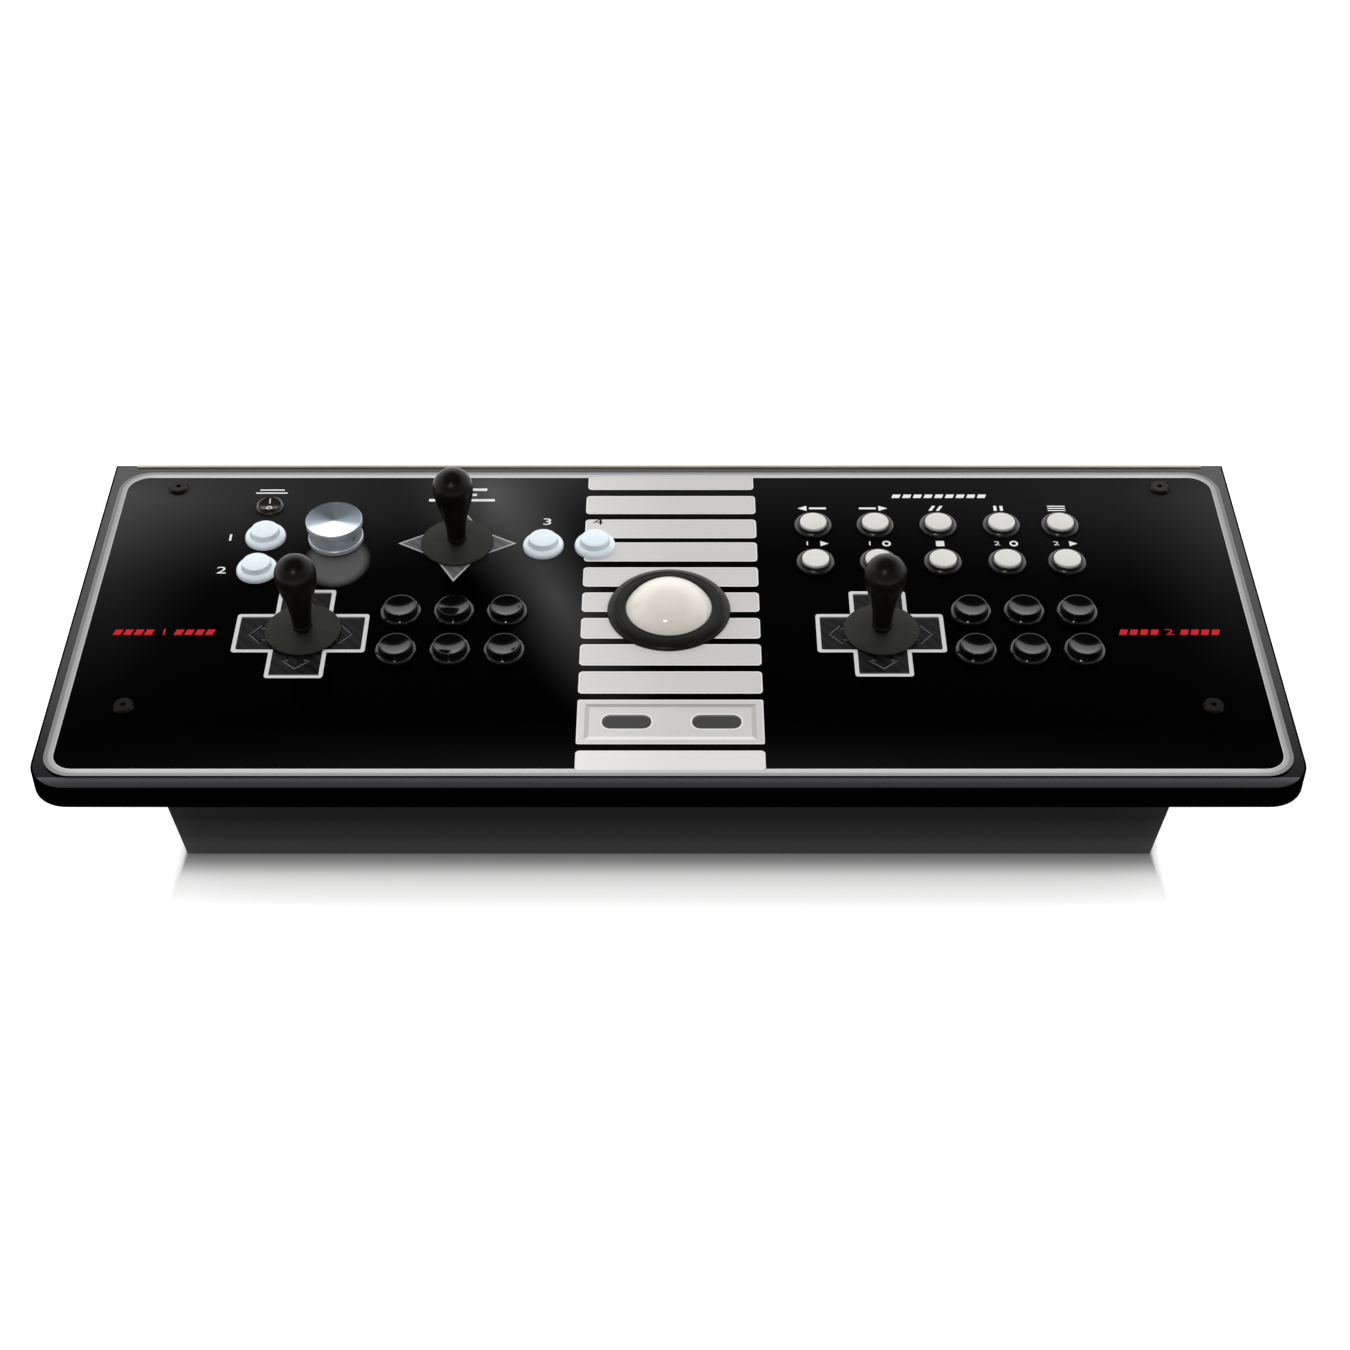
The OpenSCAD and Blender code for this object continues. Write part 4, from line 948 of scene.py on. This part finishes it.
def white_marks():
    """Numerals by the white buttons, and the signs behind the rocker and the back stick."""
    made = []
    for i, node in enumerate(WHITE):
        spot = middle(node)
        beside = i < 2
        x, y = (spot.x - 28.5, spot.y) if beside else (spot.x + 2, spot.y + 31.5)
        if x < STRIPE_X[0] - 5:
            made.append(numeral(str(i + 1), 8.5, x, y))
        else:
            printed("stripe_numeral", [numeral(str(i + 1), 8.5, x, y, TOP + 0.01)], "arrow_dark")
    for i, widths in enumerate(((-10, 10), (-13, 13))):
        made += marks_of([bar(*widths, 1.6)], ROCKER.x - 1, ROCKER.y + 23.5 - i * 4)
    back_stick = middle(STICKS[2])
    for i, widths in enumerate(((-20, 20), (-12, 12), (-27, 27))):
        made += marks_of([bar(*widths, 3.2)], back_stick.x, back_stick.y + 70 - i * 7)
    return made


def player_marks():
    """A red numeral between slanted bars beside each front stick."""
    made = []
    for text, x in (("1", -389.0), ("2", 386.0)):
        y = middle(STICKS[0]).y - 1.5
        made.append(numeral(text, 7.0, x, y))
        for side in (-1, 1):
            for i in range(4):
                centre = x + side * (11.5 + i * 8.0)
                made += marks_of([bar(-2.9, 2.9, 6.2, 0.9)], centre, y)
    return made


# ---- buttons ----

BARREL = 33.0


def barrel_profile(bore, barrel, collar):
    """The side of a button's body under its bezel: threads, floor and bore."""
    threads = []
    z = -7.0
    while z > -25:
        threads += [(barrel, z), (barrel - 0.35, z - 0.6), (barrel, z - 1.2)]
        z -= 2.4
    return ([(bore, -BARREL + 2), (4.3, -BARREL + 2), (4.3, -BARREL), (barrel, -BARREL)]
            + threads[::-1] + [(barrel, -0.01)] + collar)


def domed_bezel(radius, height, rim_r, edge_h):
    """A bezel's outline, a quarter round from its edge up to its rim."""
    angles = [math.radians(a) for a in range(0, 91, 9)]
    arc = [(rim_r + (radius - rim_r) * math.cos(a), edge_h + (height - edge_h) * math.sin(a))
           for a in angles]
    return [(radius - 0.15, 0), (radius, 0.2)] + arc


def button_body(plunger, barrel, bezel):
    """A button's body: its bezel's outline on a threaded barrel, with two switch lugs."""
    bore = plunger + 0.3
    crown = bezel[-1][1]
    rim = bezel + [(bore + 0.4, crown - 0.1), (bore, crown - 0.6)]
    mesh = lathe(barrel_profile(bore, barrel, rim), 72, True)
    lugs = [block((s * 6 - 1, -6, -BARREL - 17), (s * 6 + 1, 6, -BARREL + 0.5), 0.4) for s in (-1, 1)]
    return joined([mesh] + lugs)


def places(nodes):
    return [(middle(n).x, middle(n).y) for n in nodes]


def button_bodies():
    action = button_body(12.4, 14, domed_bezel(16.45, 5.0, 13.4, 0.8))
    menu = button_body(10.8, 12.4, domed_bezel(15.65, 4.6, 11.7, 0.8))
    white = button_body(11.2, 13.4, domed_bezel(16.4, 5.0, 12.4, 1.4))
    for name, mesh, nodes, finish, slot, old in (
            ("action_button_bodies", action, ACTION, "black_gloss", "black_gloss", "black_bezels"),
            ("menu_button_bodies", menu, MENU, "menu_black", "black_gloss", "black_bezels"),
            ("white_button_bodies", white, WHITE, "white_gloss", "white_gloss", "white_bezels")):
        made = repeated(mesh, places(nodes), finish)
        piece(name, made, finish, "panel", slot, [old])


def plunger_profile(radius, crown, edge, dish_r=0.0, dish=0.0):
    """A plunger from its crown's middle out, down its skirt and back to its stem."""
    top = [(0, crown)]
    if dish:
        sphere = (dish_r ** 2 + dish ** 2) / (2 * dish)
        steps = 9
        reach = [dish_r * i / steps for i in range(steps + 1)]
        top = [(r, crown - dish + sphere - math.sqrt(sphere ** 2 - r ** 2)) for r in reach]
        top += [((dish_r + radius - edge) / 2, crown)]
    side = soften([top[-1], (radius, crown), (radius, -12)], [0, edge, 0], 8)[1:]
    under = [(radius - 1.6, -12), (radius - 1.6, crown - 5), (4, crown - 5), (4, -BARREL - 2),
             (1, -BARREL - 2), (1, -BARREL - 8), (0, -BARREL - 8)]
    return top + side + under


def plungers():
    action_high = span(ACTION[0])[1].z - TOP
    kinds = (("action", ACTION, plunger_profile(12.4, action_high, 0.8, 11.4, 1.8), "black_gloss"),
             ("white", WHITE, plunger_profile(11.2, 9.5, 1.0), "white_gloss"),
             ("menu", MENU, plunger_profile(10.8, 6.2, 0.9), "menu_white"))
    for stem, nodes, profile, finish in kinds:
        for node in nodes:
            spot = middle(node)
            body = moved(lathe(profile, 80), spot.x, spot.y, TOP)
            piece(f"{stem}_cap_{node.rpartition('_')[2]}", body, finish, node, finish, [node])


# ---- joysticks ----


def ease(t):
    return t * t * (3 - 2 * t)


SHAFT_R = 4.75


def bat_profile(foot, height):
    """The bat handle's outline above the overlay, with the shaft's socket up its middle."""
    round_r, neck_r, socket_r = 16.0, 7.75, SHAFT_R + 0.02
    centre = height - round_r
    neck_top = foot + 8
    collar = [(socket_r, foot), (neck_r - 1.2, foot), (neck_r, foot + 1.2), (neck_r - 0.1, foot + 3.0),
              (neck_r - 0.75, foot + 4.4), (neck_r - 0.5, foot + 6.4)]
    collar = soften(collar, 0.9, 4)
    steps = 26
    side = [(neck_r + (round_r - neck_r) * ease(i / steps) - 0.35 * math.sin(math.pi * i / steps) ** 2,
             neck_top + (centre - neck_top) * i / steps) for i in range(steps + 1)]
    dome = [(round_r * math.cos(math.radians(a)), centre + round_r * math.sin(math.radians(a)))
            for a in range(4, 90, 4)] + [(0, height)]
    hollow = [(0, centre - 10), (socket_r, centre - 10)]
    return hollow + collar + side + dome


def joysticks():
    foot, height = 4.0, span(STICKS[0])[1].z - TOP
    shaft_bottom = span(STICKS[0])[0].z
    pivot = middle("pivot_ball_1").z
    for node, dust in zip(STICKS, DUST_WASHERS):
        spot = middle(dust)
        number = node[-1]
        bat = moved(lathe(bat_profile(foot, height), 96), spot.x, spot.y, TOP)
        piece(f"bat_handle_{number}", bat, "bat", node, "bat_plastic", [node])
        rod_top = TOP + height - 26
        rod = [(0, shaft_bottom), (SHAFT_R, shaft_bottom), (SHAFT_R, rod_top), (0, rod_top)]
        rod = lathe(soften(rod, 0.6, 3), 64)
        pin = moved(lathe(soften([(0, -9), (1.5, -9), (1.5, 9), (0, 9)], 0.3, 2), 32), 0, 0, pivot, 90, "X")
        clip_z = pivot - 36
        clip = lathe([(SHAFT_R, clip_z), (7, clip_z), (7, clip_z + 1), (SHAFT_R, clip_z + 1)], 64, True)
        piece(f"stick_shaft_{number}", moved(joined([rod, pin, clip]), spot.x, spot.y), "steel", node,
              "bright_steel", [node])
        low, high, bore = pivot - 34, pivot - 26, SHAFT_R + 0.02
        actuator = soften([(bore, low), (8, low), (8, high), (bore, high)], [0, 0.8, 0.8, 0], 3)
        piece(f"stick_actuator_{number}", moved(lathe(actuator, 64, True), spot.x, spot.y), "inner", node,
              "inner_plastic", [node])
        low, high = span(dust)
        r = (high.x - low.x) / 2
        disc = soften([(5.35, low.z), (r, low.z), (r, high.z), (5.35, high.z)], 0.35, 3, True)
        piece(f"dust_disc_{number}", moved(lathe(disc, 96, True), spot.x, spot.y), "washer", dust,
              "washer_plastic", [dust])


# ---- trackball ----


def trackball():
    arcs = 64
    ball = lathe([(BALL_R * math.sin(math.pi * i / arcs), BALL_R * math.cos(math.pi * i / arcs))
                  for i in range(arcs + 1)], 128)
    piece("trackball_sphere", moved(ball, BALL.x, BALL.y, BALL.z), "ivory", "trackball", "ball_ivory",
          ["trackball"])
    low, high = span("trackball_ring")
    r, h = (high.x - low.x) / 2, high.z - TOP
    outline = [(35.4, 0), (33.5, h - 0.9), (34.0, h - 0.15), (40.2, h), (40.5, h - 0.5), (41.3, h - 0.5),
               (41.6, h - 0.1), (r - 4.2, h - 0.5), (r - 1.4, h - 1.5), (r - 0.2, h - 2.9), (r, 0),
               (BALL_R + 1.3, 0), (BALL_R + 1.3, low.z - TOP), (BALL_R + 0.5, low.z - TOP),
               (BALL_R + 0.5, 0)]
    radii = [0, 0.4, 0.6, 0.1, 0.1, 0.1, 0.1, 2.0, 1.4, 1.0, 0, 0, 0, 0, 0]
    ring = lathe(soften(outline, radii, 4, True), 128, True)
    piece("trackball_collar", moved(ring, BALL.x, BALL.y, TOP), "ring", "panel", "ring_plastic",
          ["trackball_ring"])


# ---- spinner ----


def spinner():
    """The knob: a faced top, a turned side with its waist, and the spindle with its disc."""
    base, height, dish = 1.5, KNOB_HIGH.z - TOP, 1.5
    r = KNOB_R
    low, high = base + 5, height - 5.5
    side = [(3.25, base), (r - 1.6, base), (r - 0.5, base + 1.1), (r - 0.5, low - 0.8), (r - 1.4, low),
            (r - 1.4, high), (r, high + 0.6), (r, height - 0.4), (r - 0.4, height)]
    side = soften(side, [0, 0.3, 0.3, 0.2, 0.2, 0.2, 0.2, 0.15, 0], 3)
    face = [((r - 0.4) * (1 - i / 12), height - dish * i / 12) for i in range(1, 13)]
    body = lathe([(0, height - 5)] + [(3.25, height - 5)] + side + face, 128)
    tools = []
    for turn in (-148, -38):
        tool = moved(lathe([(0, 0), (1.8, 0), (1.8, 6), (0, 6)], 24), 0, 0, 0, 90, "Y")
        tools.append(moved(moved(tool, r - 4.5, 0, base + 11), 0, 0, 0, turn))
    body = moved(carved(body, joined(tools)), KNOB.x, KNOB.y, TOP)
    piece("spinner_knob_body", body, "knob_side", "spinner_knob", "turned_aluminium", ["spinner_knob"], 28)
    body.materials.append(FINISH["knob_top"])
    for polygon in body.polygons:
        if polygon.normal.z > 0.9 and polygon.center.z > (TOP + height - dish - 0.1) * MM:
            polygon.material_index = 1
    foot = KNOB_LOW.z
    disc_z = foot + 3
    high = TOP + height - 5
    spindle = lathe(soften([(0, foot), (3.2, foot), (3.2, high), (0, high)], 0.4, 3), 48)
    disc = lathe([(3.2, disc_z), (16, disc_z), (16, disc_z + 1.5), (3.2, disc_z + 1.5)], 96, True)
    piece("spinner_spindle", moved(joined([spindle, disc]), KNOB.x, KNOB.y), "steel", "spinner_knob",
          "bright_steel", ["spinner_knob"])


# ---- rocker switch ----

ROCKER_BALL_R = 8.3
ROCKER_DISH = 13.9  # radius of the dish along the paddle
ROCKER_LOW = 1.8    # height of the dish's middle above the pin
ROCKER_REST = 7     # the paddle's tilt at rest, in degrees

# ---- the record's own nodes that stay, each with its finish ----

STAYING = {
    "deck_board": "laminate", "graphic_overlay": "overlay", "base_box": "box", "base_floor": "board",
    "rubber_feet": "rubber", "fasteners": "bronze", "panel_nuts": "inner", "microswitches": "switch",
    "joystick_bases": "inner", "trackball_housing": "inner", "spinner_bearing": "inner",
    "control_board": "circuit", "roller_x": "steel", "roller_y": "steel",
    **{n: "steel" for n in numbered("pivot_ball")},
    **{n: "slip" for n in numbered("slip_washer")},
}


def dress_nodes():
    for name, finish in STAYING.items():
        mesh = frame["nodes"][name].data
        if not mesh.materials:
            mesh.materials.append(None)
        for slot in frame["nodes"][name].material_slots:
            slot.link = "OBJECT"
            slot.material = FINISH[finish]


def rocker():
    """The round rocker: a domed bezel on its barrel, and a dished paddle with its two marks."""
    r = (span("rocker_body")[1].x - span("rocker_body")[0].x) / 2
    well = ROCKER_BALL_R + 0.3
    outline = [(0, -9), (well, -9), (well, 3.1), (well + 0.8, 3.6), (r - 1.0, 3.1), (r - 0.3, 2.2), (r, 1.0),
               (r, 0), (10, 0), (10, -26), (0, -26)]
    body = lathe(soften(outline, [0, 0, 0.3, 0.4, 0.8, 0.8, 0.4, 0, 0, 0.5, 0], 4), 96)
    blades = [block((-3.15, y, -34), (3.15, y + 0.8, -25.5), 0.1) for y in (-5, 5)]
    piece("rocker_bezel", moved(joined([body] + blades), ROCKER.x, ROCKER.y, TOP), "rocker", "panel",
          "rocker_plastic", ["rocker_body"])
    ball = lathe([(ROCKER_BALL_R * math.sin(math.pi * i / 40), ROCKER_BALL_R * math.cos(math.pi * i / 40))
                  for i in range(41)], 96)
    bowl = moved(lathe([(0, -20), (ROCKER_DISH, -20), (ROCKER_DISH, 20), (0, 20)], 160), 0, 0,
                 ROCKER_LOW + ROCKER_DISH, 90, "Y")
    paddle = carved(carved(ball, bowl), block((-12, -12, -20), (12, 12, -5), 0))
    pin = moved(lathe(soften([(0, -9.3), (1, -9.3), (1, 9.3), (0, 9.3)], 0.2, 2), 24), 0, 0, 0, 90, "Y")
    marks = joined([slab([box_loop(-0.5, 1.6, 0.5, 6.0, 0.2, 2)], 0, 0.07),
                    slab([ring_loop((0, -3.9), 2.5, 40), ring_loop((0, -3.9), 1.6, 40)], 0, 0.1)])
    for vertex in marks.vertices:
        curve = ROCKER_DISH * MM - math.sqrt((ROCKER_DISH * MM) ** 2 - vertex.co.y ** 2)
        vertex.co.z += ROCKER_LOW * MM + curve
    for name, mesh, finish in (("rocker_paddle_cap", joined([paddle, pin]), "rocker"),
                               ("rocker_paddle_marks", marks, "mark_white")):
        moved(moved(mesh, turn=ROCKER_REST, axis="X"), ROCKER.x, ROCKER.y, TOP + 1.4)
        piece(name, mesh, finish, "rocker_paddle", "rocker_plastic", ["rocker_paddle"])


def floor_finish():
    """White floor with a short soft painted reflection of the box in front of it."""
    material, tree, shader, place = blank_finish("studio_floor", 0.5, Specular_IOR_Level=0.0)
    far = along_axis(tree, place, "Y", BOX_FOOT, BOX_FOOT - PAINTED_REFLECTION_LENGTH)
    beside = along_axis(tree, place, "X", BOX_HIGH.x, BOX_HIGH.x + 9, both_ways=True)
    behind = along_axis(tree, place, "Y", BOX_FOOT / 2, 0)
    for limit in (beside, behind):
        both = add(tree, "ShaderNodeMath", {"operation": "MAXIMUM"})
        link(tree, far, 0, both, 0)
        link(tree, limit, 0, both, 1)
        far = both
    # Painted reflection: darker colour and glow close in front of the box's foot.
    stops = [(at, (level, level, level, 1)) for at, level in
             ((0, 0.107), (0.1, 0.177), (0.2, 0.31), (0.3, 0.47), (0.4, 0.557), (0.5, 0.595),
              (0.7, 0.66), (0.85, 0.76), (1, 0.82))]
    for target in ("Base Color", "Emission Color"):
        colour_between(tree, far, "Value", stops, shader, target)
    shader.inputs["Emission Strength"].default_value = 1.0
    return material


def studio():
    """Floor, sky and lights."""
    size = 12.0
    mesh = bpy.data.meshes.new("studio_floor")
    corners = [(-size, -size, 0), (size, -size, 0), (size, size, 0), (-size, size, 0)]
    mesh.from_pydata(corners, [], [(0, 1, 2, 3)])
    mesh.materials.append(floor_finish())
    loose(mesh, "studio_floor")
    world = bpy.data.worlds.new("studio")
    scene.world = world
    world.use_nodes = True
    tree = world.node_tree
    sky = tree.nodes["Background"]
    place = add(tree, "ShaderNodeTexCoord")
    bands = add(tree, "ShaderNodeMix", {"data_type": "RGBA", "blend_type": "MULTIPLY"})
    bands.inputs["Factor"].default_value = 1.0
    for axis, side, low, high, stops in (
            ("Z", "A", 0, 1, [(0, 1.8), (0.44, 1.8), (0.60, 1.7), (0.66, 1.2), (0.68, 0.1), (0.8, 0.0)]),
            ("Y", "B", -0.6, 0.4, [(0, 0.2), (1, 1.0)])):
        along = along_axis(tree, place, axis, low, high, unit=1, output="Generated")
        colour_between(tree, along, "Result", [(at, (level, level, level, 1)) for at, level in stops],
                       bands, side)
    link(tree, bands, "Result", sky, "Color")
    sky.inputs["Strength"].default_value = 1.0
    lamps = [("overhead", (0, 0.4, 2.4), (3.0, 2.0), 30, (1, 1, 1), False),
             ("key", (-0.35, -1.5, 2.0), (0.25, 0.12), 12, (1, 0.98, 0.95), True)]
    for name, spot, extent, power, colour, mirrored in lamps:
        lamp = bpy.data.lights.new(name, "AREA")
        lamp.shape = "RECTANGLE"
        lamp.size, lamp.size_y = extent
        lamp.energy = power
        lamp.color = colour
        holder = bpy.data.objects.new(name, lamp)
        holder.location = spot
        holder.visible_glossy = mirrored
        aim = Vector((0, 0, 0.12)) - Vector(spot)
        holder.rotation_euler = aim.to_track_quat("-Z", "Y").to_euler()
        scene.collection.objects.link(holder)


studio()
dress_nodes()
deck_edge()
overlay_border()
stripes()
bevelled_block()
stick_pads()
stick_star()
printed("white_signs", menu_signs() + white_marks(), "mark_white")
printed("player_signs", player_marks(), "mark_red")
button_bodies()
plungers()
joysticks()
trackball()
spinner()
rocker()
